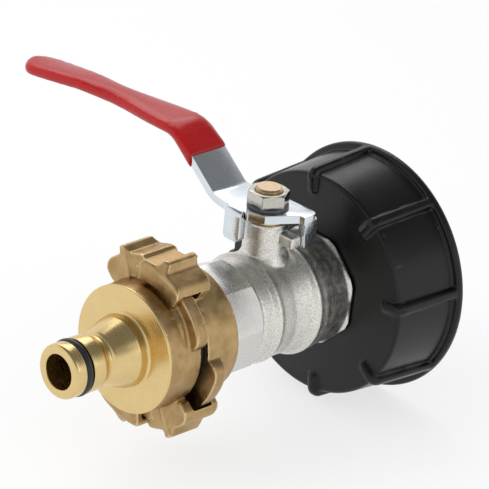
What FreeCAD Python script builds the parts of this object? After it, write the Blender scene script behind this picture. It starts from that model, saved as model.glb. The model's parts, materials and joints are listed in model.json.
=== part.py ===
import FreeCAD, Part
import math
import os

# Tank tap adapter for a 1000 litre liquid container: a black screw cap with a coarse
# tank thread, a nickel plated ball valve with a red lever, a two-claw brass quick
# coupling and a brass plug for a garden hose connector.
#
# Frame, in millimetres: the origin is the centre of the cap's open mouth, on the pipe
# axis. The water flows towards -Y, +Z is up along the valve stem, and the closed lever
# points along -X. A place along the pipe is given as its distance forward of the mouth,
# so a point at distance t lies at y = -t. Angles round the pipe are seen from the
# outlet, counter-clockwise from +X.

V = FreeCAD.Vector
PIPE = V(0, 1, 0)
UP = V(0, 0, 1)

# Tank cap
TANK_THREAD_R = 30.2
TANK_THREAD_LENGTH = 17.0
CAP_WALL = 2.9
CAP_DRAFT = 1.3
CAP_FLOOR = 4.0
CAP_EDGE_ROUND = 1.6
RIM_STANDS_OUT = 2.1
RIM_THICKNESS = 2.6
CAP_BOSS_R = 19.5
CAP_BOSS_HEIGHT = 1.2
SOCKET_WALL = 4.2
RIB_COUNT = 8
RIB_FIRST_DEG = 7.0
RIB_WIDTH = 2.8
RIB_HEIGHT = 1.5
RIB_INNER_R = 27.5

# Cap gasket and the seal under the valve
GASKET_THICKNESS = 3.0
GASKET_WIDTH = 9.5
GASKET_FIT = 0.5
INLET_SEAL_THICKNESS = 1.6
INLET_SEAL_R = 15.6

# Pipe threads of the valve
PIPE_THREAD_R = 13.1
THREAD_CLEARANCE = 0.1
INLET_THREAD_LENGTH = 9.5

# Valve body
WRENCH_FLATS = 31.0
WRENCH_CORNER_CUT = 1.0
INLET_WRENCH_LENGTH = 3.6
INLET_WRENCH_CORNER_DEG = 20.0
INLET_TO_BALL = 19.7
BALL_TO_SEAM = 13.1
BARREL_R = 15.45
BARREL_WALL = 2.25
SHOULDER_HEIGHT = 1.6
SHOULDER_LENGTH = 1.6
SHOULDER_RUN = 4.8
SHOULDER_SHARE = 0.49
BAND_HEIGHT = 0.55
BAND_AT = 5.5
BAND_LENGTH = 2.3
BAND_SLOPE = 0.6
SEAM_CHAMFER = 0.3
SEAM_STEP = 0.2
PASSAGE_R = 9.0

# Ball and its seats
BALL_FIT = 0.6
BALL_PORT_SHARE = 0.6
BALL_RUNNING_GAP = 0.1
SEAT_WALL = 3.9
SEAT_FIT = 0.2
SEAT_NEAR_SHARE = 0.51
SEAT_FAR_SHARE = 0.785
OUTLET_FLOOR = 1.9

# Stem, packing and bonnet
STEM_R = 3.9
STEM_RUNNING_GAP = 0.08
STEM_TOP = 36.0
STEM_FLANGE_R = 4.9
STEM_FLANGE_HEIGHT = 1.4
TANG_THICKNESS = 4.5
TANG_WIDTH = 8.6
TANG_DEPTH = 3.2
TANG_FIT = 0.2
STEM_WASHER_THICKNESS = 0.6
BONNET_R = 6.3
BONNET_TOP = 26.3
BONNET_FOOT = 1.1
BONNET_ROUND = 0.5
CHAMBER_R = 5.0
CHAMBER_DEPTH = 7.3
PACKING_HEIGHT = 4.6
GLAND_HEAD_R = 5.7
GLAND_HEAD_HEIGHT = 0.8
SMALL_GAP = 0.1

# Stop lug on the bonnet
LUG_REACH = 11.4
LUG_WIDTH = 4.0
LUG_OFFSET = 1.0
LUG_TOP = 24.0
LUG_HEIGHT = 3.5

# Lever
LEVER_PLATE_BOTTOM = 27.5
LEVER_THICKNESS = 2.5
LEVER_FOLD = 15.5
LEVER_RISE_DEG = 39.5
LEVER_RISE = 14.4
HANDLE_FALL = 1.0
HANDLE_BREAK = 75.0
HANDLE_BREAK_RADIUS = 60.0
LEVER_REACH = 98.8
TIP_DROP = 2.9
FOLD_RADIUS = 5.0
BEND_RADIUS = 9.0
SHANK_WIDTH = 13.2
WAIST_WIDTH = 8.6
TIP_WIDTH = 10.6
PLATE_WIDTH = 16.6
PLATE_END = 12.1
STEM_FLATS = 5.8
PLATE_CORNER_ROUND = 2.4
PLATE_TAPER = 2.0
WAIST_SHIFT = 3.0
TAB_DROP = 9.6
FRONT_TAB_WIDTH = 6.0
SIDE_TAB_WIDTH = 4.8
SIDE_TAB_TOP_ROUND = 2.2
SIDE_TAB_FOOT_ROUND = 4.0
TAB_BEND = 2.0
TAB_FOOT_ROUND = 1.4
TAB_PLAY = 0.15
SLEEVE_WALL = 0.7
SLEEVE_START = 24.5
SLEEVE_ROUND = 1.1

# Nut and washer on the stem
NUT_FLATS = 10.8
NUT_HEIGHT = 3.9
NUT_CHAMFER = 0.5
LEVER_WASHER_R = 6.0
LEVER_WASHER_THICKNESS = 1.1

# Outlet end piece
END_PIECE_LENGTH = 13.1
END_WRENCH_CORNER_DEG = 6.0
END_CHAMFER = 1.0
END_CONE_LENGTH = 2.6
END_CORNER_SHARE = 0.56
OUTLET_SEAL_THICKNESS = 1.5

# Claw coupling, two halves of one shape
COUPLING_R = 18.5
COUPLING_DEPTH = 12.0
COUPLING_GAP = 2.8
COUPLING_BORE_R = 8.5
COUPLING_MIDDLE_DEG = 96.0
COUPLING_EDGE = 0.4
COUPLING_ROOT = 1.0
CLAW_R = 25.4
CLAW_RIDGE_HEIGHT = 2.3
CLAW_WALL = 2.3
CLAW_MOUTH_R = 19.3
CLAW_LIP = 2.1
CLAW_ROOT_THICKNESS = 3.5
CLAW_REACH = 7.9
CLAW_NEAR_DEG = 0.8
CLAW_FAR_DEG = 43.0
CLAW_RIDGE_DEG = (14.8, 17.6, 21.6, 25.0)
CLAW_EDGE_SLOPE = 1.1
CLAW_EDGE_ROUND = 0.8
CLAW_RIB_WIDTH = 1.8
CLAW_RIB_HEIGHT = 0.7
LOBE_FIT = 0.5
LOBE_THICKNESS = 4.2
LOBE_NOSE_DEG = 82.6
LOBE_NOSE_ROUND = 3.4
LOBE_EDGE = 0.5
LOBE_FOOT_DEG = 39.0
LOBE_FOOT_R = 17.0
LOBE_FOOT_HEIGHT = 0.45
LOBE_FOOT_LENGTH = 5.6
POCKET_LENGTH = 2.0
COUPLING_SEAL_R = 16.5
COUPLING_SEAL_DEPTH = 2.6
COUPLING_SEAL_GAP = 0.2

# Plug for the hose connector
PLUG_FOOT_R = 10.3
PLUG_FOOT_LENGTH = 2.8
PLUG_CONE_R = 7.6
PLUG_CONE_LENGTH = 9.7
CATCH_GROOVE_R = 6.7
CATCH_GROOVE_LENGTH = 4.0
CATCH_GROOVE_SIDE = 0.5
LAND_ROUND = 1.6
TIP_ROUND = 1.0
WATERWAY_SHARE = 0.4
PLUG_R = 8.1
PLUG_TIP_STEP = 0.2
PLUG_LENGTH = 24.5
PLUG_BORE_R = 5.1
ORING_SECTION_R = 1.2
ORING_R = 8.3
ORING_TO_TIP = 5.0

# Places along the pipe, worked out from the sizes above
GASKET_AT = TANK_THREAD_LENGTH
FLOOR_AT = GASKET_AT + GASKET_THICKNESS
CAP_FACE_AT = FLOOR_AT + CAP_FLOOR
BOSS_FACE_AT = CAP_FACE_AT + CAP_BOSS_HEIGHT
VALVE_AT = BOSS_FACE_AT + INLET_SEAL_THICKNESS
BALL_AT = VALVE_AT + INLET_TO_BALL
SEAM_AT = BALL_AT + BALL_TO_SEAM
OUTLET_FLOOR_AT = SEAM_AT + OUTLET_FLOOR
OUTLET_SEAL_END_AT = OUTLET_FLOOR_AT + OUTLET_SEAL_THICKNESS
END_FACE_AT = SEAM_AT + END_PIECE_LENGTH
REAR_FACE_AT = END_FACE_AT + COUPLING_DEPTH
MIDDLE_AT = REAR_FACE_AT + COUPLING_GAP / 2
FRONT_FACE_AT = REAR_FACE_AT + COUPLING_GAP
DISC_AT = FRONT_FACE_AT + COUPLING_DEPTH
TIP_AT = DISC_AT + PLUG_LENGTH
ORING_AT = TIP_AT - ORING_TO_TIP

# Radii and heights that two pieces share
GASKET_POCKET_R = TANK_THREAD_R - GASKET_FIT
SOCKET_R = PIPE_THREAD_R + THREAD_CLEARANCE
CAVITY_R = BARREL_R - BARREL_WALL
END_SPIGOT_R = CAVITY_R - THREAD_CLEARANCE
SHOULDER_R = BARREL_R + SHOULDER_HEIGHT
BALL_R = CAVITY_R - BALL_FIT
BALL_PORT_R = BALL_R * BALL_PORT_SHARE
SEAT_NEAR = BALL_R * SEAT_NEAR_SHARE
SEAT_FAR = BALL_R * SEAT_FAR_SHARE
STEM_BORE_R = STEM_R + STEM_RUNNING_GAP
TANG_BOTTOM = BALL_R - TANG_DEPTH + TANG_FIT
FLANGE_BOTTOM = BALL_R + 4 * SMALL_GAP
FLANGE_TOP = FLANGE_BOTTOM + STEM_FLANGE_HEIGHT
STEM_WASHER_BOTTOM = FLANGE_TOP + SMALL_GAP
POCKET_TOP = STEM_WASHER_BOTTOM + STEM_WASHER_THICKNESS
CHAMBER_BOTTOM = BONNET_TOP - CHAMBER_DEPTH
CLAW_INNER_R = CLAW_R - CLAW_WALL
LOBE_R = CLAW_INNER_R - LOBE_FIT
PLATE_TOP = LEVER_PLATE_BOTTOM + LEVER_THICKNESS
NUT_BOTTOM = PLATE_TOP + LEVER_WASHER_THICKNESS
STEM_AXIS = V(0, -BALL_AT, 0)


def along(t, r=0.0, z=0.0):
    """The point at distance t forward of the mouth, r to the side and z up."""
    return V(r, -t, z)


def outline(points):
    """A closed face: points joined by lines, or by arcs where a pair (via, end) stands."""
    edges = []
    first = points[0]
    last = first
    for item in points[1:]:
        if isinstance(item, tuple):
            via, end = item
            edges.append(Part.Arc(last, via, end).toShape())
            last = end
        else:
            edges.append(Part.LineSegment(last, item).toShape())
            last = item
    if last.distanceToPoint(first) > 1e-6:
        edges.append(Part.LineSegment(last, first).toShape())
    return Part.Face(Part.Wire(edges))


def turned(section):
    """A solid turned about the pipe axis from (radius, distance) pairs."""
    points = []
    for item in section:
        if len(item) == 2 and isinstance(item[0], tuple):
            (via_r, via_t), (end_r, end_t) = item
            points.append((along(via_t, via_r), along(end_t, end_r)))
        else:
            points.append(along(item[1], item[0]))
    return outline(points).revolve(V(0, 0, 0), PIPE, 360)


def tube(outer_r, inner_r, start, end):
    """A ring or tube on the pipe axis between two distances."""
    return turned([(inner_r, start), (outer_r, start), (outer_r, end), (inner_r, end)])


def rod(radius, start, end):
    """A round bar on the pipe axis between two distances."""
    return Part.makeCylinder(radius, end - start, along(start), -PIPE)


def post(radius, bottom, top):
    """A round bar on the stem axis between two heights."""
    return Part.makeCylinder(radius, top - bottom, STEM_AXIS + UP * bottom, UP)


def sleeve_ring(outer_r, inner_r, bottom, top):
    """A ring on the stem axis between two heights."""
    return post(outer_r, bottom, top).cut(post(inner_r, bottom, top))


def block(x, y, z):
    """A box from its ranges in x, y and z."""
    return Part.makeBox(x[1] - x[0], y[1] - y[0], z[1] - z[0], V(x[0], y[0], z[0]))


def polar(radius, degrees, t):
    """A point at a radius and an angle round the pipe."""
    a = math.radians(degrees)
    return V(radius * math.cos(a), -t, radius * math.sin(a))


def about_pipe(shape, degrees):
    """A copy turned round the pipe, counter-clockwise as seen from the outlet."""
    return shape.rotated(V(0, 0, 0), -PIPE, degrees)


def prism(sides, flats, corner_deg, start, end):
    """A regular prism on the pipe axis, such as wrench flats."""
    corner_r = flats / 2 / math.cos(math.pi / sides)
    corners = [polar(corner_r, corner_deg + 360 * k / sides, start) for k in range(sides)]
    return outline(corners).extrude(-PIPE * (end - start))


def round_rings(shape, rings):
    """Round the circular edges on the pipe axis that rings names as (t, radius, round)."""
    for t, radius, size in rings:
        edges = []
        for edge in shape.Edges:
            curve = edge.Curve
            if not isinstance(curve, Part.Circle) or abs(curve.Radius - radius) > 0.02:
                continue
            if curve.Center.sub(along(t)).Length < 0.02:
                edges.append(edge)
        shape = shape.makeFillet(size, edges)
    return shape


def sharp_edges(shape):
    """The edges where two faces meet at a clear angle, and not in a smooth seam."""
    found = []
    for edge in shape.Edges:
        faces = shape.ancestorsOfType(edge, Part.Face)
        if len(faces) != 2:
            continue
        middle = edge.valueAt((edge.FirstParameter + edge.LastParameter) / 2)
        normals = [face.normalAt(*face.Surface.parameter(middle)) for face in faces]
        if normals[0].getAngle(normals[1]) > math.radians(30):
            found.append(edge)
    return found


# Tank cap

def cap_rib():
    """One rib: a bar up the side wall that wraps over the front edge onto the face."""
    rim_r = TANK_THREAD_R + CAP_WALL + CAP_DRAFT
    front_r = TANK_THREAD_R + CAP_WALL
    top = CAP_FACE_AT + RIB_HEIGHT * 0.7
    side = [
        along(RIM_THICKNESS / 2, rim_r - CAP_WALL / 2),
        along(RIM_THICKNESS / 2, rim_r + RIB_HEIGHT),
        along(top - 2 * RIB_HEIGHT, front_r + RIB_HEIGHT),
        (along(top - RIB_HEIGHT * 0.5, front_r + RIB_HEIGHT * 0.6), along(top, front_r - RIB_HEIGHT)),
        along(top, RIB_INNER_R + RIB_HEIGHT),
        along(CAP_FACE_AT - CAP_EDGE_ROUND, RIB_INNER_R),
        along(CAP_FACE_AT - CAP_FLOOR / 2 - CAP_EDGE_ROUND, front_r - CAP_WALL / 2),
    ]
    bar = outline(side).extrude(UP * RIB_WIDTH)
    bar.translate(-UP * RIB_WIDTH / 2)
    return bar


def tank_cap():
    front_r = TANK_THREAD_R + CAP_WALL
    wall_r = front_r + CAP_DRAFT
    rim_r = wall_r + RIM_STANDS_OUT
    cap = turned([
        (TANK_THREAD_R, 0),
        (rim_r, 0),
        (rim_r, RIM_THICKNESS),
        (wall_r, RIM_THICKNESS),
        (front_r, CAP_FACE_AT),
        (CAP_BOSS_R, CAP_FACE_AT),
        (CAP_BOSS_R, BOSS_FACE_AT),
        (SOCKET_R, BOSS_FACE_AT),
        (SOCKET_R, GASKET_AT),
        (SOCKET_R + SOCKET_WALL, GASKET_AT),
        (SOCKET_R + SOCKET_WALL, FLOOR_AT),
        (GASKET_POCKET_R, FLOOR_AT),
        (GASKET_POCKET_R, GASKET_AT),
        (TANK_THREAD_R, GASKET_AT),
    ])
    cap = round_rings(cap, [
        (0, rim_r, RIM_THICKNESS * 0.4),
        (RIM_THICKNESS, rim_r, RIM_THICKNESS * 0.4),
        (CAP_FACE_AT, front_r, CAP_EDGE_ROUND),
        (BOSS_FACE_AT, CAP_BOSS_R, CAP_BOSS_HEIGHT * 0.4),
    ])
    rib = cap_rib()
    ribs = [about_pipe(rib, RIB_FIRST_DEG + 360 * k / RIB_COUNT) for k in range(RIB_COUNT)]
    return cap.fuse(ribs).removeSplitter()


def cap_gasket():
    outer_r = GASKET_POCKET_R
    return tube(outer_r, outer_r - GASKET_WIDTH, GASKET_AT, FLOOR_AT)


def inlet_seal():
    return tube(INLET_SEAL_R, SOCKET_R, BOSS_FACE_AT, VALVE_AT)


# Ball valve

def stop_lug():
    """The cast lug on the bonnet that both tabs of the lever stop against."""
    y = -BALL_AT - LUG_OFFSET
    lug = block((BONNET_R * 0.5, LUG_REACH), (y, y + LUG_WIDTH), (LUG_TOP - LUG_HEIGHT, LUG_TOP))
    edges = [e for e in lug.Edges if min(v.X for v in e.Vertexes) > LUG_REACH - 0.01]
    return lug.makeFillet(LUG_HEIGHT * 0.15, edges)


def valve_body():
    shoulder_at = VALVE_AT + INLET_TO_BALL * SHOULDER_SHARE
    band_at = BALL_AT + BAND_AT
    flat_r = WRENCH_FLATS / 2 - WRENCH_CORNER_CUT
    outside = turned([
        (0, VALVE_AT),
        (flat_r, VALVE_AT),
        (flat_r + SEAM_CHAMFER, VALVE_AT + INLET_WRENCH_LENGTH),
        ((SHOULDER_R - SHOULDER_HEIGHT * 0.3, shoulder_at - 3.0), (SHOULDER_R, shoulder_at)),
        (SHOULDER_R, shoulder_at + SHOULDER_LENGTH),
        ((BARREL_R + SHOULDER_HEIGHT * 0.37, shoulder_at + SHOULDER_LENGTH + SHOULDER_RUN),
         (BARREL_R, BALL_AT + SHOULDER_LENGTH)),
        (BARREL_R, band_at - BAND_SLOPE),
        (BARREL_R + BAND_HEIGHT, band_at),
        (BARREL_R + BAND_HEIGHT, band_at + BAND_LENGTH),
        (BARREL_R - SEAM_STEP, band_at + BAND_LENGTH + BAND_SLOPE),
        (BARREL_R - SEAM_STEP, SEAM_AT - SEAM_CHAMFER),
        (BARREL_R - SEAM_STEP - SEAM_CHAMFER, SEAM_AT),
        (0, SEAM_AT),
    ])
    flats = prism(8, WRENCH_FLATS, INLET_WRENCH_CORNER_DEG, VALVE_AT, VALVE_AT + INLET_WRENCH_LENGTH)
    spigot = rod(PIPE_THREAD_R, VALVE_AT - INLET_THREAD_LENGTH, VALVE_AT)
    foot = Part.makeCone(BONNET_R + BONNET_FOOT, BONNET_R, 2 * BONNET_FOOT,
                         STEM_AXIS + UP * (BARREL_R - BONNET_FOOT), UP)
    bonnet = post(BONNET_R, 0, BONNET_TOP)
    rim = [e for e in bonnet.Edges if e.BoundBox.ZMin > BONNET_TOP - 0.01]
    bonnet = bonnet.makeFillet(BONNET_ROUND, rim)
    body = outside.fuse([flats, spigot, foot, bonnet, stop_lug()])
    cavity = rod(CAVITY_R, BALL_AT - SEAT_FAR, SEAM_AT + 1.0)
    passage = rod(PASSAGE_R, VALVE_AT - INLET_THREAD_LENGTH - 1.0, BALL_AT)
    pocket = post(STEM_FLANGE_R + 0.3, 0, POCKET_TOP)
    stem_bore = post(STEM_BORE_R, 0, BONNET_TOP)
    chamber = post(CHAMBER_R, CHAMBER_BOTTOM, BONNET_TOP + 1.0)
    return body.cut([cavity, passage, pocket, stem_bore, chamber]).removeSplitter()


def valve_end_piece():
    corner_r = WRENCH_FLATS * END_CORNER_SHARE
    shell = turned([
        (0, SEAM_AT),
        (BARREL_R - SEAM_STEP - SEAM_CHAMFER, SEAM_AT),
        (BARREL_R - SEAM_STEP, SEAM_AT + SEAM_CHAMFER),
        (corner_r, SEAM_AT + END_CONE_LENGTH),
        (corner_r, END_FACE_AT - END_CHAMFER),
        (WRENCH_FLATS / 2, END_FACE_AT),
        (0, END_FACE_AT),
    ])
    outside = shell.common(prism(8, WRENCH_FLATS, END_WRENCH_CORNER_DEG, SEAM_AT, END_FACE_AT))
    spigot_at = BALL_AT + SEAT_FAR
    outside = outside.fuse(rod(END_SPIGOT_R, spigot_at, SEAM_AT))
    bore = rod(PASSAGE_R, spigot_at - 1.0, END_FACE_AT)
    socket = rod(SOCKET_R, OUTLET_FLOOR_AT, END_FACE_AT + 1.0)
    return outside.cut([bore, socket]).removeSplitter()


def outlet_thread_seal():
    return tube(SOCKET_R - SEAT_FIT, PASSAGE_R, OUTLET_FLOOR_AT, OUTLET_SEAL_END_AT)


def ball():
    sphere = Part.makeSphere(BALL_R, STEM_AXIS)
    port = Part.makeCylinder(BALL_PORT_R, 4 * BALL_R, STEM_AXIS - V(2 * BALL_R, 0, 0), V(1, 0, 0))
    half = TANG_THICKNESS / 2 + TANG_FIT
    slot = block((-half, half), (-BALL_AT - BALL_R, -BALL_AT + BALL_R),
                 (BALL_R - TANG_DEPTH, 2 * BALL_R))
    return sphere.cut([port, slot])


def seat(near, far):
    """A seat ring: a plain ring whose inner edge is hollowed to the ball."""
    ring = tube(CAVITY_R - SEAT_FIT, CAVITY_R - SEAT_FIT - SEAT_WALL, min(near, far), max(near, far))
    return ring.cut(Part.makeSphere(BALL_R + BALL_RUNNING_GAP, STEM_AXIS))


def inlet_seat():
    return seat(BALL_AT - SEAT_NEAR, BALL_AT - SEAT_FAR)


def outlet_seat():
    return seat(BALL_AT + SEAT_NEAR, BALL_AT + SEAT_FAR)


def double_d(bottom, top, clearance):
    """The stem's upper end: a round bar with two flats across x."""
    round_bar = post(STEM_R + clearance, bottom, top)
    half = STEM_FLATS / 2 + clearance
    return round_bar.common(block((-half, half), (-BALL_AT - 2 * STEM_R, -BALL_AT + 2 * STEM_R),
                                  (bottom, top)))


def stem():
    tang = block((-TANG_THICKNESS / 2, TANG_THICKNESS / 2),
                 (-BALL_AT - TANG_WIDTH / 2, -BALL_AT + TANG_WIDTH / 2),
                 (TANG_BOTTOM, FLANGE_BOTTOM))
    flange = post(STEM_FLANGE_R, FLANGE_BOTTOM, FLANGE_TOP)
    shaft = post(STEM_R, FLANGE_TOP, LEVER_PLATE_BOTTOM)
    neck = double_d(LEVER_PLATE_BOTTOM, PLATE_TOP, 0)
    thread = post(STEM_R, PLATE_TOP, STEM_TOP)
    rim = [e for e in thread.Edges if e.BoundBox.ZMin > STEM_TOP - 0.01]
    thread = thread.makeChamfer(STEM_R * 0.12, rim)
    return flange.fuse([tang, shaft, neck, thread]).removeSplitter()


def stem_washer():
    return sleeve_ring(STEM_FLANGE_R, STEM_BORE_R, STEM_WASHER_BOTTOM, POCKET_TOP)


def stem_packing():
    return sleeve_ring(CHAMBER_R, STEM_BORE_R, CHAMBER_BOTTOM, CHAMBER_BOTTOM + PACKING_HEIGHT)


def packing_gland():
    bottom = CHAMBER_BOTTOM + PACKING_HEIGHT
    head_top = BONNET_TOP + GLAND_HEAD_HEIGHT
    sleeve = post(CHAMBER_R - THREAD_CLEARANCE, bottom, BONNET_TOP)
    head = post(GLAND_HEAD_R, BONNET_TOP, head_top)
    return sleeve.fuse(head).cut(post(STEM_BORE_R, bottom, head_top)).removeSplitter()


# Lever

def lever_path():
    """The lever's centre line as (x, z) points, from the plate's end to just past the tip."""
    plate_z = LEVER_PLATE_BOTTOM + LEVER_THICKNESS / 2
    run = LEVER_RISE / math.tan(math.radians(LEVER_RISE_DEG))
    bend = (-LEVER_FOLD - run, plate_z + LEVER_RISE)
    knee = (-HANDLE_BREAK, bend[1] - HANDLE_FALL)
    tip = (-LEVER_REACH - 2 * LEVER_THICKNESS, knee[1] - TIP_DROP)
    return [(PLATE_END, plate_z), (-LEVER_FOLD, plate_z), bend, knee, tip]


def strip(path, thickness):
    """A bent strip's side view: the path with rounded corners, given a thickness."""
    def offset_side(side):
        points = []
        for i, (x, z) in enumerate(path):
            normals = []
            if i > 0:
                normals.append(unit(path[i - 1], path[i]))
            if i < len(path) - 1:
                normals.append(unit(path[i], path[i + 1]))
            dx = sum(n[0] for n in normals) / len(normals)
            dz = sum(n[1] for n in normals) / len(normals)
            scale = side * thickness / 2 / (dx * dx + dz * dz)
            points.append((x - dz * scale, z + dx * scale))
        return points

    radii = [0, FOLD_RADIUS, BEND_RADIUS, HANDLE_BREAK_RADIUS, 0]
    upper = offset_side(-1)
    lower = offset_side(1)
    upper_radii = [r + thickness / 2 if turns_down(path, i) else r - thickness / 2
                   for i, r in enumerate(radii)]
    lower_radii = [r - thickness / 2 if turns_down(path, i) else r + thickness / 2
                   for i, r in enumerate(radii)]
    edges = rounded_edges(upper, upper_radii)
    back = rounded_edges(lower, lower_radii)
    ends = [segment(upper[0], lower[0]), segment(upper[-1], lower[-1])]
    return Part.Face(Part.Wire(Part.__sortEdges__(edges + back + ends)))


def unit(a, b):
    length = math.hypot(b[0] - a[0], b[1] - a[1])
    return ((b[0] - a[0]) / length, (b[1] - a[1]) / length)


def turns_down(path, i):
    """True where the path, followed towards -X, bends downwards at point i."""
    if i == 0 or i == len(path) - 1:
        return False
    a = unit(path[i - 1], path[i])
    b = unit(path[i], path[i + 1])
    return a[0] * b[1] - a[1] * b[0] > 0


def segment(a, b):
    return Part.LineSegment(V(a[0], -BALL_AT, a[1]), V(b[0], -BALL_AT, b[1])).toShape()


def rounded_edges(points, radii):
    """Lines between the points, with a tangent arc of the given radius at each corner."""
    edges = []
    start = points[0]
    for i in range(1, len(points) - 1):
        a = unit(points[i], points[i - 1])
        b = unit(points[i], points[i + 1])
        half = math.acos(max(-1.0, min(1.0, a[0] * b[0] + a[1] * b[1]))) / 2
        back = radii[i] / math.tan(half)
        p = points[i]
        p1 = (p[0] + a[0] * back, p[1] + a[1] * back)
        p2 = (p[0] + b[0] * back, p[1] + b[1] * back)
        mid = unit((0, 0), (a[0] + b[0], a[1] + b[1]))
        depth = radii[i] / math.sin(half) - radii[i]
        via = (p[0] + mid[0] * depth, p[1] + mid[1] * depth)
        edges.append(segment(start, p1))
        edges.append(Part.Arc(V(p1[0], -BALL_AT, p1[1]), V(via[0], -BALL_AT, via[1]),
                              V(p2[0], -BALL_AT, p2[1])).toShape())
        start = p2
    edges.append(segment(start, points[-1]))
    return edges


def handle_plan(grow):
    """The strip's outline seen from above, widened all round by grow."""
    shank = SHANK_WIDTH / 2 + grow
    waist = WAIST_WIDTH / 2 + grow
    wide = TIP_WIDTH / 2 + grow
    plate = PLATE_WIDTH / 2 + grow
    end = LEVER_REACH + grow
    bend_x = LEVER_FOLD + LEVER_RISE / math.tan(math.radians(LEVER_RISE_DEG))
    half = [
        (PLATE_END + grow, plate),
        (-FRONT_TAB_WIDTH - PLATE_TAPER, plate),
        (-LEVER_FOLD, shank),
        (-bend_x - PLATE_TAPER, shank),
    ]
    neck = -(bend_x + HANDLE_BREAK) / 2 - WAIST_SHIFT
    fat = wide - end

    def at(x, y):
        return V(x, -BALL_AT + y, 0)

    def side(sign):
        lines = []
        last = at(half[0][0], sign * half[0][1])
        for x, y in half[1:]:
            point = at(x, sign * y)
            lines.append(Part.LineSegment(last, point).toShape())
            last = point
        waist_curve = Part.BSplineCurve()
        waist_curve.interpolate(
            [last, at(neck, sign * waist), at(fat, sign * wide)],
            InitialTangent=V(-1, 0, 0), FinalTangent=V(-1, 0, 0))
        lines.append(waist_curve.toShape())
        return lines

    tip = Part.Arc(at(fat, wide), at(-end, 0), at(fat, -wide)).toShape()
    plate_end = Part.LineSegment(at(half[0][0], plate), at(half[0][0], -plate)).toShape()
    return Part.Face(Part.Wire(Part.__sortEdges__(side(1) + side(-1) + [tip, plate_end])))


def strap():
    """The bare strip: its side view and its plan, each extruded, in common."""
    side = strip(lever_path(), LEVER_THICKNESS)
    side = side.extrude(PIPE * 2 * PLATE_WIDTH)
    side.translate(-PIPE * PLATE_WIDTH)
    plan = handle_plan(0).extrude(UP * 100)
    return side.common(plan)


def corner_cut():
    """The slanted corner that the plate lacks beside the stop lug."""
    y = -BALL_AT
    edge = y - PLATE_WIDTH / 2
    lug_side = y + LUG_WIDTH - LUG_OFFSET - 0.3
    corner = outline([
        V(0.2, edge - 1, 0), V(0.2, edge + 0.5, 0),
        V(PLATE_END * 0.41, edge + PLATE_WIDTH * 0.14, 0), V(PLATE_END * 0.84, lug_side, 0),
        V(PLATE_END + 1, lug_side, 0), V(PLATE_END + 1, edge - 1, 0),
    ])
    return corner.extrude(UP * 100)


def rounded_plate():
    """The strip with its slanted corner, and with the other corner rounded."""
    plate = strap().cut(corner_cut())
    corner = V(PLATE_END, -BALL_AT + PLATE_WIDTH / 2, 0)
    upright = [e for e in plate.Edges
               if e.BoundBox.ZLength > LEVER_THICKNESS - 0.01 and e.BoundBox.XLength < 0.01
               and e.BoundBox.YLength < 0.01
               and V(e.BoundBox.XMax, e.BoundBox.YMax, 0).distanceToPoint(corner) < 0.01]
    return plate.makeFillet(PLATE_CORNER_ROUND, upright)


def side_tab():
    """The tab bent down from the plate's end, which stops the lever when closed."""
    y = -BALL_AT - LUG_OFFSET + LUG_WIDTH + TAB_PLAY
    bottom = PLATE_TOP - TAB_DROP
    end = y + SIDE_TAB_WIDTH
    tab = block((PLATE_END - LEVER_THICKNESS, PLATE_END), (y, end), (bottom, PLATE_TOP))
    bend = [e for e in tab.Edges if e.BoundBox.ZMin > PLATE_TOP - 0.01
            and e.BoundBox.XMin > PLATE_END - 0.01]
    tab = tab.makeFillet(TAB_BEND, bend)
    top, foot = SIDE_TAB_TOP_ROUND, SIDE_TAB_FOOT_ROUND
    near = math.sqrt(0.5)
    face = outline([
        V(0, y, bottom + 0.6), V(0, y + 0.6, bottom), V(0, end - foot, bottom),
        (V(0, end - foot + foot * near, bottom + foot - foot * near), V(0, end, bottom + foot)),
        V(0, end, PLATE_TOP - top),
        (V(0, end - top + top * near, PLATE_TOP - top + top * near), V(0, end - top, PLATE_TOP)),
        V(0, y, PLATE_TOP),
    ])
    return tab.common(face.extrude(V(2 * PLATE_END, 0, 0)))


def front_tab():
    """The tab bent down from the plate's front edge, which stops the lever when open."""
    y = -BALL_AT - PLATE_WIDTH / 2 - LEVER_THICKNESS * 0.6
    right = -LUG_OFFSET - TAB_PLAY
    bottom = PLATE_TOP - TAB_DROP
    tab = block((right - FRONT_TAB_WIDTH, right), (y, y + LEVER_THICKNESS), (bottom, PLATE_TOP))
    bend = [e for e in tab.Edges if e.BoundBox.ZMin > PLATE_TOP - 0.01 and e.BoundBox.YMax < y + 0.01]
    tab = tab.makeFillet(TAB_BEND, bend)
    feet = [e for e in tab.Edges if e.BoundBox.ZMax < bottom + 0.01 and e.BoundBox.YLength > 1]
    return tab.makeFillet(TAB_FOOT_ROUND, feet)


def lever():
    hole = double_d(LEVER_PLATE_BOTTOM - 1.0, PLATE_TOP + 1.0, SMALL_GAP)
    return rounded_plate().fuse([side_tab(), front_tab()]).cut(hole).removeSplitter()


def lever_sleeve():
    thickness = LEVER_THICKNESS + 2 * SLEEVE_WALL
    side = strip(lever_path(), thickness)
    side = side.extrude(PIPE * 2 * PLATE_WIDTH)
    side.translate(-PIPE * PLATE_WIDTH)
    skin = side.common(handle_plan(SLEEVE_WALL).extrude(UP * 100))
    keep = block((-2 * LEVER_REACH, -SLEEVE_START), (-BALL_AT - PLATE_WIDTH, -BALL_AT + PLATE_WIDTH),
                 (0, 100))
    skin = skin.common(keep)
    long_edges = [e for e in sharp_edges(skin) if e.BoundBox.XLength > 1]
    skin = skin.makeFillet(SLEEVE_ROUND, long_edges)
    return skin.cut(strap())


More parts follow.
